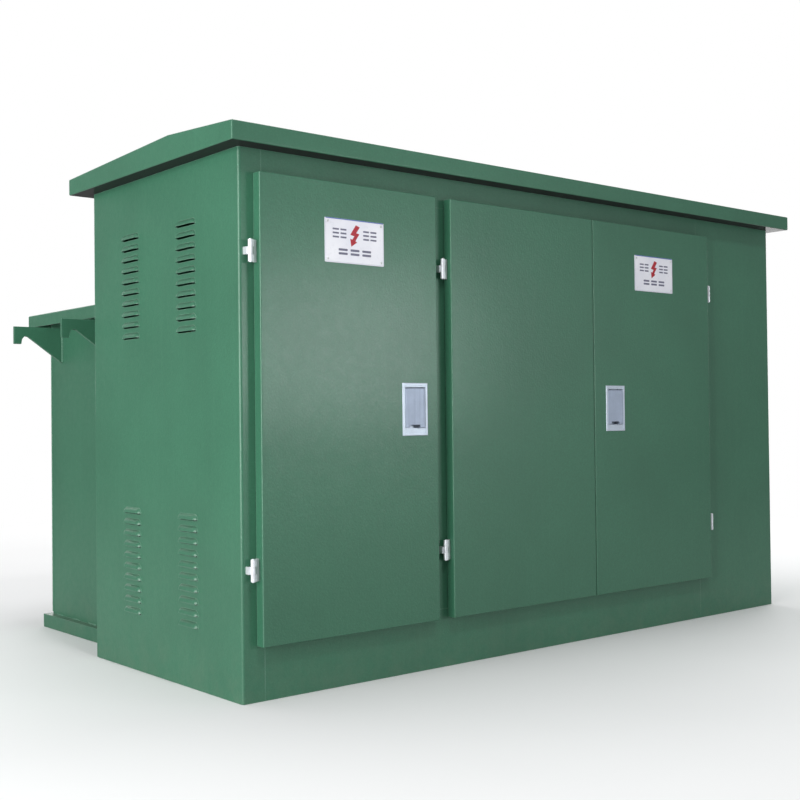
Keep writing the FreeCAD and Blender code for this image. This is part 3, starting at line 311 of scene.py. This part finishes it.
def rubber():
    L = Look("seal_rubber")
    f = L.noise(420.0, 3.0, 0.6)
    L.set("Base Color", L.mix(L.band(L.noise(12.0, 4.0, 0.6), 0.3, 0.7), (0.012, 0.012, 0.012), (0.032, 0.031, 0.029)))
    L.set("Roughness", L.band(f, 0.3, 0.7, 0.62, 0.82))
    L.set("Normal", L.bump(f, 0.4, 0.0006))
    return L.m


def cork():
    L = Look("cover_gasket")
    f = L.cells(160.0)
    L.set("Base Color", L.mix(L.band(f, 0.1, 0.6), (0.045, 0.014, 0.012), (0.020, 0.008, 0.008)))
    L.set("Roughness", 0.8)
    L.set("Normal", L.bump(f, 0.5, 0.0008))
    return L.m


def enamel():
    """White-faced aluminium plate: smooth, faintly mottled, cooler towards its rim."""
    L = Look("plate_enamel")
    col = L.mix(L.band(L.noise(11.0, 3.0, 0.5), 0.3, 0.7), srgb(226, 226, 236), srgb(238, 238, 244))
    col = L.mix(L.band(L.noise(60.0, 5.0, 0.7), 0.58, 0.78, 0.0, 0.35), col, srgb(196, 199, 208))
    e = L.edges(0.0016)
    col = L.mix(L.math("MULTIPLY", e, 0.55), col, srgb(150, 160, 190))
    L.set("Base Color", col)
    L.set("Roughness", L.band(L.noise(90.0, 3.0, 0.6), 0.3, 0.7, 0.26, 0.38))
    L.set("Normal", L.bump(L.noise(240.0, 2.0, 0.5), 0.08, 0.0004))
    return L.m


def glaze():
    L = Look("brown_glaze", Coat_Weight=0.8)
    L.set("Coat Roughness", 0.06)
    run = L.noise(1.0, 3.0, 0.5, vec=L.stretch(30.0, 160.0, 30.0))
    L.set("Base Color", L.mix(L.band(run, 0.3, 0.7), (0.055, 0.014, 0.008), (0.115, 0.030, 0.016)))
    L.set("Roughness", 0.22)
    L.set("Normal", L.bump(L.noise(60.0, 2.0, 0.5), 0.06, 0.001))
    return L.m


def copper():
    L = Look("busbar_copper", Metallic=1.0)
    lines = L.noise(1.0, 2.0, 0.6, vec=L.stretch(600.0, 600.0, 6.0))
    col = L.mix(L.band(L.noise(20.0, 5.0, 0.65), 0.35, 0.68), (0.78, 0.36, 0.20), (0.42, 0.17, 0.09))
    col = L.mix(L.band(lines, 0.3, 0.7, 0.0, 0.25), col, (0.30, 0.12, 0.07))
    L.set("Base Color", col)
    L.set("Roughness", L.band(lines, 0.25, 0.75, 0.26, 0.44))
    L.set("Normal", L.bump(lines, 0.2, 0.0003))
    return L.m


def windings(name, a, b, pitch):
    L = Look(name)
    turns = L.wave(pitch, "Z")
    col = L.mix(L.band(turns, 0.05, 0.5), a, b)
    col = L.mix(L.band(L.noise(18.0, 5.0, 0.7), 0.45, 0.70, 0.0, 0.35), col, tuple(v * 0.5 for v in a))
    L.set("Base Color", col)
    L.set("Roughness", L.band(L.noise(70.0, 3.0, 0.6), 0.3, 0.7, 0.34, 0.55))
    L.set("Normal", L.bump(turns, 0.8, 0.0012))
    return L.m


def lamination():
    L = Look("core_lamination", Metallic=0.85)
    s = L.wave(220.0, "Y")
    L.set("Base Color", L.mix(L.band(s, 0.2, 0.8), (0.10, 0.105, 0.115), (0.24, 0.25, 0.27)))
    L.set("Roughness", L.band(L.noise(50.0, 3.0, 0.6), 0.3, 0.7, 0.38, 0.58))
    L.set("Normal", L.bump(s, 0.35, 0.0004))
    return L.m


M["seal_rubber"] = rubber()
M["cover_gasket"] = cork()
M["plate_enamel"] = enamel()
M["insulator"] = glaze()
M["busbar_copper"] = copper()
M["lv_copper"] = windings("lv_foil", (0.30, 0.10, 0.045), (0.52, 0.22, 0.10), 26.0)
M["hv_coil"] = windings("hv_paper_wrap", (0.18, 0.10, 0.045), (0.36, 0.24, 0.12), 60.0)
M["core_steel"] = lamination()


for name, o in NODES.items():
    m = M[SLOT_OF[name]]
    if name == "tank_gasket":
        m = M["cover_gasket"]
    if name.endswith("latch_bezel"):
        m = LATCH_RIM
    o.data.materials.clear()
    o.data.materials.append(m)


# -------------------------------------------------------------- mesh building
def add(name, verts, faces, mat, body, smooth=None, bevel=None):
    me = bpy.data.meshes.new(name)
    me.from_pydata([tuple(v) for v in verts], [], [tuple(f) for f in faces])
    me.update()
    bm = bmesh.new()
    bm.from_mesh(me)
    bmesh.ops.remove_doubles(bm, verts=bm.verts, dist=1e-7)
    bmesh.ops.recalc_face_normals(bm, faces=bm.faces)
    bm.to_mesh(me)
    bm.free()
    o = bpy.data.objects.new(name, me)
    bpy.context.scene.collection.objects.link(o)
    me.materials.append(mat)
    if smooth is not None:
        me.polygons.foreach_set("use_smooth", [True] * len(me.polygons))
        me.set_sharp_from_angle(angle=math.radians(smooth))
    if bevel:
        md = o.modifiers.new("edge", "BEVEL")
        md.width = bevel
        md.segments = 2
        md.limit_method = "ANGLE"
        md.angle_limit = math.radians(40)
    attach(o, body)
    return o


class Shape:
    """Collects vertices and faces of several like pieces into one mesh."""

    def __init__(self):
        self.v, self.f = [], []

    def take(self, verts, faces):
        k = len(self.v)
        self.v += [Vector(v) for v in verts]
        self.f += [tuple(i + k for i in f) for f in faces]

    def lathe(self, origin, axis, profile, steps=20, turn=0.0):
        """profile: (distance along axis, radius) from one end to the other; radius 0 closes an end."""
        axis = Vector(axis).normalized()
        side = axis.orthogonal().normalized()
        up = axis.cross(side)
        verts, rings = [], []
        for d, r in profile:
            if r <= 1e-9:
                rings.append([len(verts)])
                verts.append(Vector(origin) + axis * d)
            else:
                ring = []
                for k in range(steps):
                    a = 2 * math.pi * k / steps + turn
                    ring.append(len(verts))
                    verts.append(Vector(origin) + axis * d + (side * math.cos(a) + up * math.sin(a)) * r)
                rings.append(ring)
        faces = []
        for a, b in zip(rings, rings[1:]):
            if len(a) == 1 and len(b) == 1:
                continue
            for k in range(steps):
                j = (k + 1) % steps
                if len(a) == 1:
                    faces.append((a[0], b[k], b[j]))
                elif len(b) == 1:
                    faces.append((a[k], b[0], a[j]))
                else:
                    faces.append((a[k], b[k], b[j], a[j]))
        if len(rings[0]) > 1:
            faces.append(tuple(rings[0]))
        if len(rings[-1]) > 1:
            faces.append(tuple(rings[-1]))
        self.take(verts, faces)

    def slab(self, outline, origin, u, v, lo, hi):
        """An outline in the u, v plane, thickened from lo to hi along u x v."""
        u, v = Vector(u), Vector(v)
        w = u.cross(v).normalized()
        n = len(outline)
        pts = [Vector(origin) + u * a + v * b for a, b in outline]
        verts = [p + w * lo for p in pts] + [p + w * hi for p in pts]
        faces = [tuple(range(n)), tuple(range(n, 2 * n))]
        faces += [(k, (k + 1) % n, n + (k + 1) % n, n + k) for k in range(n)]
        self.take(verts, faces)

    def tube(self, path, radius, steps=10, closed=False, radii=None):
        """A tube through the points, with an even frame and closed ends."""
        pts = [Vector(p) for p in path]
        n = len(pts)
        verts, faces = [], []
        ref = None
        for i, p in enumerate(pts):
            a = pts[(i - 1) % n] if (closed or i > 0) else p
            b = pts[(i + 1) % n] if (closed or i < n - 1) else p
            d = (b - a).normalized()
            if ref is None:
                ref = d.orthogonal().normalized()
            ref = (ref - d * ref.dot(d)).normalized()
            side = d.cross(ref)
            r = radii[i] if radii else radius
            for k in range(steps):
                t = 2 * math.pi * k / steps
                verts.append(p + (ref * math.cos(t) + side * math.sin(t)) * r)
        for i in range(n if closed else n - 1):
            j = (i + 1) % n
            for k in range(steps):
                m = (k + 1) % steps
                faces.append((i * steps + k, j * steps + k, j * steps + m, i * steps + m))
        if not closed:
            faces.append(tuple(range(steps)))
            faces.append(tuple((n - 1) * steps + k for k in range(steps)))
        self.take(verts, faces)

    def weld(self, a, b, r=0.0035, step=0.0032):
        """A weld bead with its ripples, from a to b."""
        a, b = Vector(a), Vector(b)
        n = max(6, int((b - a).length / step) * 4)
        pts, radii = [], []
        for i in range(n + 1):
            t = i / n
            ph = t * (b - a).length / step
            wob = 0.12 * math.sin(ph * 0.9) + 0.07 * math.sin(ph * 2.3 + 1.0)
            saw = ph - math.floor(ph)
            end = min(1.0, min(t, 1 - t) * n / 5.0 + 0.35)
            radii.append(r * (0.86 + 0.20 * (1 - saw) + 0.5 * wob * 0.4) * end)
            pts.append(a.lerp(b, t))
        self.tube(pts, r, steps=9, radii=radii)


def rounded(cx, cy, w, h, r, seg=5):
    out = []
    for sx, sy, a0 in ((1, 1, 0), (-1, 1, 90), (-1, -1, 180), (1, -1, 270)):
        for k in range(seg + 1):
            a = math.radians(a0 + 90.0 * k / seg)
            out.append((cx + sx * (w / 2 - r) + r * math.cos(a), cy + sy * (h / 2 - r) + r * math.sin(a)))
    return out


X, Y, Z = Vector((1, 0, 0)), Vector((0, 1, 0)), Vector((0, 0, 1))
FRONT = Vector((0, -1, 0))


def screw(shape, at, axis, r=0.0042, dome=0.0016):
    """Pan-head screw with a cross recess: the recess is cut by lowered wedges in the dome."""
    axis = Vector(axis).normalized()
    side = axis.orthogonal().normalized()
    up = axis.cross(side)
    steps = 24
    rings = [(1.0, 0.0), (1.0, 0.45), (0.93, 0.78), (0.72, 0.96), (0.46, 1.0), (0.40, 1.0), (0.16, 1.0)]
    verts, faces, idx = [], [], []
    for frac, h in rings:
        ring = []
        for k in range(steps):
            a = 2 * math.pi * k / steps
            hh = h
            off = abs(((a + math.pi / 4) % (math.pi / 2)) - math.pi / 4)
            if frac <= 0.46 and off * frac < 0.105:
                hh = 0.35 if frac < 0.44 else 0.9
            ring.append(len(verts))
            verts.append(Vector(at) + (side * math.cos(a) + up * math.sin(a)) * (r * frac) + axis * (dome * hh))
        idx.append(ring)
    c = len(verts)
    verts.append(Vector(at) + axis * (dome * 0.25))
    for a, b in zip(idx, idx[1:]):
        for k in range(steps):
            j = (k + 1) % steps
            faces.append((a[k], a[j], b[j], b[k]))
    for k in range(steps):
        faces.append((idx[-1][k], idx[-1][(k + 1) % steps], c))
    faces.append(tuple(idx[0]))
    shape.take(verts, faces)


def rivet(shape, at, axis, r=0.0034, h=0.0016):
    shape.lathe(at, axis, [(-0.0003, r), (0.0004, r), (h * 0.62, r * 0.86), (h * 0.9, r * 0.55), (h, r * 0.30),
                           (h * 0.86, r * 0.24), (h * 0.80, 0.0)], steps=20)


def hexhead(shape, at, axis, across, tall, washer=None):
    """Hexagon head with chamfered corners, on a washer."""
    at = Vector(at)
    axis = Vector(axis).normalized()
    base = 0.0
    if washer:
        shape.lathe(at, axis, [(0.0, washer * 0.97), (0.0003, washer), (0.0017, washer), (0.002, washer * 0.97)], steps=28)
        base = 0.002
    r = across / math.sqrt(3)
    shape.lathe(at, axis, [(base, r * 0.97), (base + tall * 0.06, r), (base + tall * 0.82, r)], steps=6)
    shape.lathe(at, axis, [(base + tall * 0.80, r * 0.90), (base + tall * 0.94, r * 0.87), (base + tall, r * 0.76),
                           (base + tall * 0.985, r * 0.45), (base + tall * 0.97, 0.0)], steps=24)


# ------------------------------------------------------------ door label plates
BOLT_RED = moulded("symbol_red", srgb(168, 6, 32), rough=0.42, mottle=0.05, edge=0.1)
RIM_PALE = moulded("rim_pale", srgb(205, 208, 218), rough=0.4, mottle=0.06, edge=0.0)
BAR_GREY = moulded("bar_grey", srgb(104, 104, 126), rough=0.45, mottle=0.10, edge=0.0)
LINE_BLUE = moulded("rim_blue", srgb(58, 88, 176), rough=0.4, mottle=0.08, edge=0.0)
RIVET = metal("rivet_aluminium", (0.74, 0.75, 0.76), rough=0.30, grain=0.1)


def dress_plate(node, body, stem):
    lo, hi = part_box(node)
    cx, cz = (lo.x + hi.x) / 2, (lo.z + hi.z) / 2
    w, h = hi.x - lo.x, hi.z - lo.z
    at = Vector((cx, lo.y, cz))
    s = Shape()
    # zig-zag with a barbed tip, running down to the left
    zig = [(3.5, 45.8), (17.0, 41.4), (4.6, 24.3), (15.6, 22.6), (1.3, 2.6), (7.4, -0.4), (-12.4, -13.4), (-15.8, 8.2),
           (-9.0, 5.6), (-1.6, 15.4), (-15.4, 18.6)]
    s.slab([(a * MM, b * MM) for a, b in zig], at, X, Z, 0.0, 0.00035)
    add(stem + "_symbol", s.v, s.f, BOLT_RED, body)
    bars = Shape()
    for sx in (-1, 1):
        for bz in (0.0305, 0.0200, 0.0095):
            for bx, bw in ((0.0385, 0.0200), (0.0640, 0.0210)):
                bars.slab(rounded(sx * bx, bz, bw, 0.0046, 0.0014), at, X, Z, 0.0, 0.0003)
    for bz in (-0.0235, -0.0340):
        for bx, bw in ((-0.0400, 0.0300), (0.0, 0.0300), (0.0400, 0.0300)):
            bars.slab(rounded(bx, bz, bw, 0.0060, 0.0016), at, X, Z, 0.0, 0.0003)
    add(stem + "_bars", bars.v, bars.f, BAR_GREY, body)
    rim = Shape()
    n = 4
    outer = rounded(0, 0, w - 0.0035, h - 0.0035, 0.0022)
    inner = rounded(0, 0, w - 0.0062, h - 0.0062, 0.0012)
    k = len(outer)
    pts = [at + X * a + Z * b + FRONT * 0.0 for a, b in outer] + [at + X * a + Z * b for a, b in inner]
    top = [p + FRONT * 0.00022 for p in pts]
    faces = []
    for i in range(k):
        j = (i + 1) % k
        faces.append((2 * k + i, 2 * k + j, 3 * k + j, 3 * k + i))
        faces.append((i, j, 2 * k + j, 2 * k + i))
        faces.append((k + i, k + j, 3 * k + j, 3 * k + i))
        faces.append((i, j, k + j, k + i))
    rim.take(pts + top, faces)
    add(stem + "_rim_line", rim.v, rim.f, RIM_PALE, body)
    film = Shape()
    film.slab(rounded(0.0, h / 2 - 0.0013, w - 0.004, 0.0020, 0.0008), at, X, Z, 0.0, 0.0004)
    add(stem + "_top_film", film.v, film.f, LINE_BLUE, body)
    r = Shape()
    for sx in (-1, 1):
        for sz in (-1, 1):
            rivet(r, at + X * sx * (w / 2 - 0.0095) + Z * sz * (h / 2 - 0.0095), FRONT)
    add(stem + "_rivets", r.v, r.f, RIVET, body, smooth=35)


dress_plate("hv_label_plate", "hv_door_leaf", "hv_plate")
dress_plate("lv_label_plate", "lv_right_leaf", "lv_plate")

# ------------------------------------------------------------------ weld beads
# The lighter bead edges are wear together with a painted highlight.
BEAD = paint("weld_paint", tuple(v * 1.05 for v in GREEN), rough=0.30, peel=0.3, streaks=0.0, dust_and_floor_bounce=0.2, edge_wear_and_highlight=0.6)
hlo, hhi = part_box("lifting_hooks")
tlo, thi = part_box("tank_shell")
tank_x0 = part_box("tank_base_rails")[0].x + 0.028      # tank side wall
tank_x1 = -tank_x0
s = Shape()
for sx, wx in ((-1, tank_x0), (1, tank_x1)):
    for hy in (hlo.y + 0.005, hhi.y - 0.005):
        for side in (-1, 1):
            y = hy + side * 0.0058
            s.weld((wx + sx * 0.0008, y, 0.923), (wx + sx * 0.0008, y, 1.041), r=0.0042)
add("hook_welds", s.v, s.f, BEAD, "housing", smooth=50)

# Lugs of the door hinges are welded to the frame.
flo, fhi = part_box("hinge_frame_leaves")
glo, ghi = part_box("hinge_pins")
s = Shape()
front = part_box("front_top_rail")[0].y
zs = (glo.z + 0.030, ghi.z - 0.030)
for x0, x1 in ((flo.x, flo.x + 0.011), (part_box("lv_left_hinge_door_leaves")[0].x - 0.0045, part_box("lv_left_hinge_door_leaves")[0].x + 0.0065),
               (fhi.x - 0.011, fhi.x)):
    for z in zs:
        for dz in (-0.0095, 0.0095):
            s.weld((x0, front - 0.0004, z + dz), (x1, front - 0.0004, z + dz), r=0.0018, step=0.0022)
add("hinge_lug_welds", s.v, s.f, BEAD, "housing", smooth=50)

rlo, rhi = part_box("tank_base_rails")
s = Shape()
for wx, sx in ((tank_x0, -1), (tank_x1, 1)):
    yb = rhi.y - 0.017
    y = rlo.y + 0.02
    while y + 0.06 < yb:
        s.weld((wx + sx * 0.0006, y, rhi.z + 0.0006), (wx + sx * 0.0006, y + 0.055, rhi.z + 0.0006), r=0.0030)
        y += 0.125
x = tank_x0 + 0.04
yb = rhi.y - 0.017
while x + 0.06 < tank_x1:
    s.weld((x, yb + 0.0006, rhi.z + 0.0006), (x + 0.06, yb + 0.0006, rhi.z + 0.0006), r=0.0030)
    x += 0.16
add("rail_welds", s.v, s.f, BEAD, "housing", smooth=50)

# Vertical seams of the tank's rear corners, running up to just below its flange.
s = Shape()
for wx in (tank_x0, tank_x1):
    s.weld((wx, yb, rhi.z + 0.006), (wx, yb, 1.072), r=0.0028)
add("tank_corner_seams", s.v, s.f, BEAD, "housing", smooth=50)

# ----------------------------------------------------- rubber edge at cable cut-outs
flo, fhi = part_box("floor_plate")
RUB = M["seal_rubber"]
for stem, name in (("hv", "hv_cable_entry"), ("lv", "lv_cable_entry")):
    op = [q for q in RECORD["physics"]["openings"] if q["name"] == name][0]["box_m"]
    x0, y0 = op[0][0] - 0.005, op[0][1] - 0.005
    x1, y1 = op[1][0] + 0.005, op[1][1] + 0.005
    path = []
    for a, b in rounded((x0 + x1) / 2, (y0 + y1) / 2, x1 - x0 - 0.002, y1 - y0 - 0.002, 0.006, seg=4):
        path.append((a, b, (flo.z + fhi.z) / 2))
    s = Shape()
    s.tube(path, 0.0042, steps=12, closed=True)
    add(stem + "_cable_edge_seal", s.v, s.f, RUB, "housing", smooth=60)


# ------------------------------------------------------------ radiator details
for node in ("radiator_left", "radiator_right"):
    lo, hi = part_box(node)
    cx = (lo.x + hi.x) / 2
    tank_y = lo.y
    s = Shape()
    for z in (lo.z + 0.045, hi.z - 0.045):
        for k in range(6):
            a = math.radians(60 * k + 30)
            hexhead(s, (cx + 0.038 * math.cos(a), tank_y + 0.012, z + 0.038 * math.sin(a)), (0, 1, 0), 0.012, 0.006)
    add(node + "_flange_bolts", s.v, s.f, M["bolt_zinc"], "housing", smooth=35)
    s = Shape()
    for z in (lo.z + 0.045, hi.z - 0.045):
        for wx, sx in ((lo.x, -1), (hi.x, 1)):
            yc = (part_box(node)[1].y - 0.110)
            hexhead(s, (wx, yc, z), (sx, 0, 0), 0.019, 0.0055)
    add(node + "_plugs", s.v, s.f, M["valve_brass"], "housing", smooth=35)

# ------------------------------------------------------- fittings on the tank front
def ring_bolts(node, flange, reach, count, across, tall, start=45.0, spread=None):
    """Hexagon heads round each round flange of a node of like fittings."""
    lo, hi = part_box(node)
    r0 = reach[0]
    xs = [(lo.x + hi.x) / 2] if spread is None else spread
    zc = (lo.z + hi.z) / 2
    s = Shape()
    for xc in xs:
        for k in range(count):
            a = math.radians(start + 360.0 * k / count)
            hexhead(s, (xc + r0 * math.cos(a), WALL - flange, zc + r0 * math.sin(a)), FRONT, across, tall)
    add(node + "_flange_bolts", s.v, s.f, M["bolt_zinc"], "housing", smooth=35)


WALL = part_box("tank_shell")[0].y                # front face of the tank


def spread_of(node, count, r):
    lo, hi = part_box(node)
    return [lo.x + r + (hi.x - lo.x - 2 * r) * k / (count - 1) for k in range(count)]


hv_x = spread_of("hv_bushings", 3, 0.046)
lv_x = spread_of("lv_bushings", 4, 0.042)
ring_bolts("hv_bushings", 0.010, (0.0395,), 4, 0.008, 0.004, spread=hv_x)
ring_bolts("lv_bushings", 0.010, (0.0370,), 4, 0.0065, 0.0035, spread=lv_x)
ring_bolts("fuse_wells", 0.009, (0.0355,), 4, 0.0075, 0.0035, spread=spread_of("fuse_wells", 3, 0.042))
ring_bolts("switch_boss", 0.010, (0.0360,), 6, 0.0075, 0.0035, start=30.0)
ring_bolts("tap_boss", 0.008, (0.0320,), 4, 0.0070, 0.0035)

# Nuts that hold the busbars on the low-voltage studs, and bolts at the breaker's tabs.
lo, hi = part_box("lv_busbars")
blo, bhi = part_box("lv_bushings")
klo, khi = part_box("lv_breaker")
s = Shape()
for xc in lv_x:
    hexhead(s, (xc, lo.y, (blo.z + bhi.z) / 2), FRONT, 0.030, 0.012, washer=0.0195)
mid = (klo.x + khi.x) / 2
for xc in (mid - 0.070, mid, mid + 0.070):
    for z in (0.612, 0.636):
        hexhead(s, (xc, lo.y, z), FRONT, 0.010, 0.005, washer=0.008)
add("busbar_nuts", s.v, s.f, M["fitting_steel"], "housing", smooth=35)

# Dial of the oil level gauge, with its scale and rim screws.
lo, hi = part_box("level_gauge")
gx, gz = (lo.x + hi.x) / 2, (lo.z + hi.z) / 2
s = Shape()
s.lathe((gx, WALL - 0.0199, gz), FRONT, [(0.0, 0.0304), (0.0003, 0.0306), (0.0005, 0.0302), (0.0005, 0.0)], steps=48)
add("gauge_dial", s.v, s.f, M["plate_enamel"], "housing", smooth=30)
s = Shape()
for k in range(11):
    a = math.radians(-50 + 10 * k)
    u, v = Vector((math.sin(a), 0, math.cos(a))), Vector((math.cos(a), 0, -math.sin(a)))
    long = 0.0065 if k % 5 == 0 else 0.004
    c0 = Vector((gx, WALL - 0.0204, gz)) + u * (0.0285 - long / 2)
    s.slab([(-long / 2, -0.0005), (long / 2, -0.0005), (long / 2, 0.0005), (-long / 2, 0.0005)], c0, u, v, -0.0001, 0.0002)
add("gauge_scale", s.v, s.f, M["breaker_plastic"], "housing")
s = Shape()
for k in range(6):
    a = math.radians(60 * k)
    screw(s, Vector((gx + 0.0335 * math.cos(a), WALL - 0.030, gz + 0.0335 * math.sin(a))), FRONT, r=0.0019, dome=0.0009)
add("gauge_rim_screws", s.v, s.f, RIVET, "housing", smooth=35)

# Position marks round the tap selector and the load switch, on the tank wall.
s = Shape()
for node, angles, r0, r1 in (("tap_boss", (-60, -30, 0, 30, 60), 0.046, 0.054), ("switch_boss", (0, 90), 0.050, 0.062)):
    lo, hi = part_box(node)
    xc, zc = (lo.x + hi.x) / 2, (lo.z + hi.z) / 2
    for deg in angles:
        a = math.radians(deg)
        u, v = Vector((math.sin(a), 0, math.cos(a))), Vector((math.cos(a), 0, -math.sin(a)))
        c0 = Vector((xc, WALL, zc)) + u * ((r0 + r1) / 2)
        h = (r1 - r0) / 2
        s.slab([(-h, -0.0013), (h, -0.0013), (h, 0.0013), (-h, 0.0013)], c0, u, v, -0.0004, 0.0004)
add("position_marks", s.v, s.f, M["plate_enamel"], "housing")

# I and O beside the breaker's toggle.
face = klo.y
s = Shape()
s.slab(rounded(0.0, 0.0, 0.0024, 0.0100, 0.0010), (mid, face, 0.5075), X, Z, 0.0, 0.0004)
ring = [(mid + 0.0042 * math.cos(math.radians(15 * k)), face - 0.0002, 0.4125 + 0.0042 * math.sin(math.radians(15 * k))) for k in range(24)]
s.tube(ring, 0.0009, steps=8, closed=True)
add("breaker_marks", s.v, s.f, M["plate_enamel"], "housing", smooth=40)

# ------------------------------------------------------------------- floor, light
# A pale floor that runs out into an evenly lit white sweep.
L = Look("studio_floor")
L.set("Roughness", 0.8)
L.set("Normal", L.bump(L.noise(40.0, 4.0, 0.6), 0.03, 0.002))
seen_by = L.n("ShaderNodeLightPath")
bounce = L.n("ShaderNodeMix", data_type="RGBA")
L.link(seen_by.outputs["Is Camera Ray"], bounce.inputs[0])
bounce.inputs[6].default_value = (0.46, 0.46, 0.46, 1.0)
L.link(L.mix(L.band(L.noise(0.7, 3.0, 0.5), 0.3, 0.7), (0.82, 0.82, 0.82), (0.86, 0.86, 0.86)), bounce.inputs[7])
L.link(bounce.outputs[2], L.b.inputs["Base Color"])
far = L.n("ShaderNodeVectorMath", operation="LENGTH")
L.link(L.obj, far.inputs[0])
glow = L.n("ShaderNodeEmission")
glow.inputs[0].default_value = (1.0, 1.0, 1.0, 1.0)
glow.inputs[1].default_value = 1.0
sweep = L.n("ShaderNodeMixShader")
L.link(L.math("MULTIPLY", L.band(far.outputs["Value"], 1.7, 4.6), seen_by.outputs["Is Camera Ray"]), sweep.inputs[0])
L.link(L.b.outputs[0], sweep.inputs[1])
L.link(glow.outputs[0], sweep.inputs[2])
L.link(sweep.outputs[0], L.out.inputs[0])
me = bpy.data.meshes.new("floor")
R = 60.0
me.from_pydata([(-R, -R, 0), (R, -R, 0), (R, R, 0), (-R, R, 0)], [], [(0, 1, 2, 3)])
floor = bpy.data.objects.new("floor", me)
floor.location.z = -0.0005
bpy.context.scene.collection.objects.link(floor)
me.materials.append(L.m)

# White backdrop, with a dimmer even light from it.
world = bpy.data.worlds.new("studio")
bpy.context.scene.world = world
world.use_nodes = True
wt = world.node_tree
bg = wt.nodes["Background"]
bg.inputs[0].default_value = (1.0, 1.0, 1.0, 1.0)
bg.inputs[1].default_value = 1.0
soft = wt.nodes.new("ShaderNodeBackground")
soft.inputs[0].default_value = (0.94, 0.97, 1.0, 1.0)
soft.inputs[1].default_value = WORLD
ray = wt.nodes.new("ShaderNodeLightPath")
both = wt.nodes.new("ShaderNodeMixShader")
wt.links.new(ray.outputs["Is Camera Ray"], both.inputs[0])
wt.links.new(soft.outputs[0], both.inputs[1])
wt.links.new(bg.outputs[0], both.inputs[2])
wt.links.new(both.outputs[0], wt.nodes["World Output"].inputs[0])


def area(name, at, look, size, power, colour=(1, 1, 1)):
    d = bpy.data.lights.new(name, "AREA")
    d.shape = "RECTANGLE"
    d.size, d.size_y = size
    d.energy = power
    d.color = colour
    o = bpy.data.objects.new(name, d)
    o.location = at
    o.rotation_euler = (Vector(look) - Vector(at)).to_track_quat("-Z", "Y").to_euler()
    bpy.context.scene.collection.objects.link(o)
    return o


area("left_bank", (-5.4, -1.6, 1.3), (-1.2, 0.3, 0.75), (3.4, 2.4), 212.0)
area("corner_strip", (-4.5, -2.85, 1.0), (-1.15, -0.8, 0.75), (0.07, 2.4), 44.0)
area("key", (-1.3, -3.5, 4.5), (-0.1, -0.8, 0.7), (0.5, 0.5), 58.0)
area("front_right", (4.3, -8.0, 1.45), (-0.95, -0.84, 0.85), (2.4, 1.5), 122.0, (0.95, 0.98, 1.0))
area("top_soft", (0.0, 0.4, 5.0), (0.0, 0.2, 0.8), (5.0, 3.0), 120.0)
area("back", (1.2, 5.8, 2.4), (0.0, 0.4, 0.7), (6.5, 3.0), 150.0)
area("right_bank", (5.4, 0.8, 1.6), (1.2, 0.2, 0.8), (3.5, 2.4), 110.0)

cam = bpy.data.cameras.new("camera")
cam.sensor_fit = "HORIZONTAL"
cam.sensor_width = 36.0
cam.lens = 53.458
cam.clip_end = 200.0
co = bpy.data.objects.new("camera", cam)
bpy.context.scene.collection.objects.link(co)
yaw, pitch, roll = (math.radians(a) for a in (39.80547, 0.81575, -0.61684))
fwd = Vector((math.sin(yaw) * math.cos(pitch), math.cos(yaw) * math.cos(pitch), math.sin(pitch)))
right = Vector((math.cos(yaw), -math.sin(yaw), 0.0))
up = right.cross(fwd)
r2 = right * math.cos(roll) + up * math.sin(roll)
u2 = up * math.cos(roll) - right * math.sin(roll)
co.matrix_world = Matrix(((r2.x, u2.x, -fwd.x, -2.787777), (r2.y, u2.y, -fwd.y, -3.377003),
                          (r2.z, u2.z, -fwd.z, 0.722578), (0, 0, 0, 1)))
sc = bpy.context.scene
sc.camera = co
sc.view_settings.view_transform = "Standard"
sc.view_settings.look = "None"

bpy.context.view_layer.update()
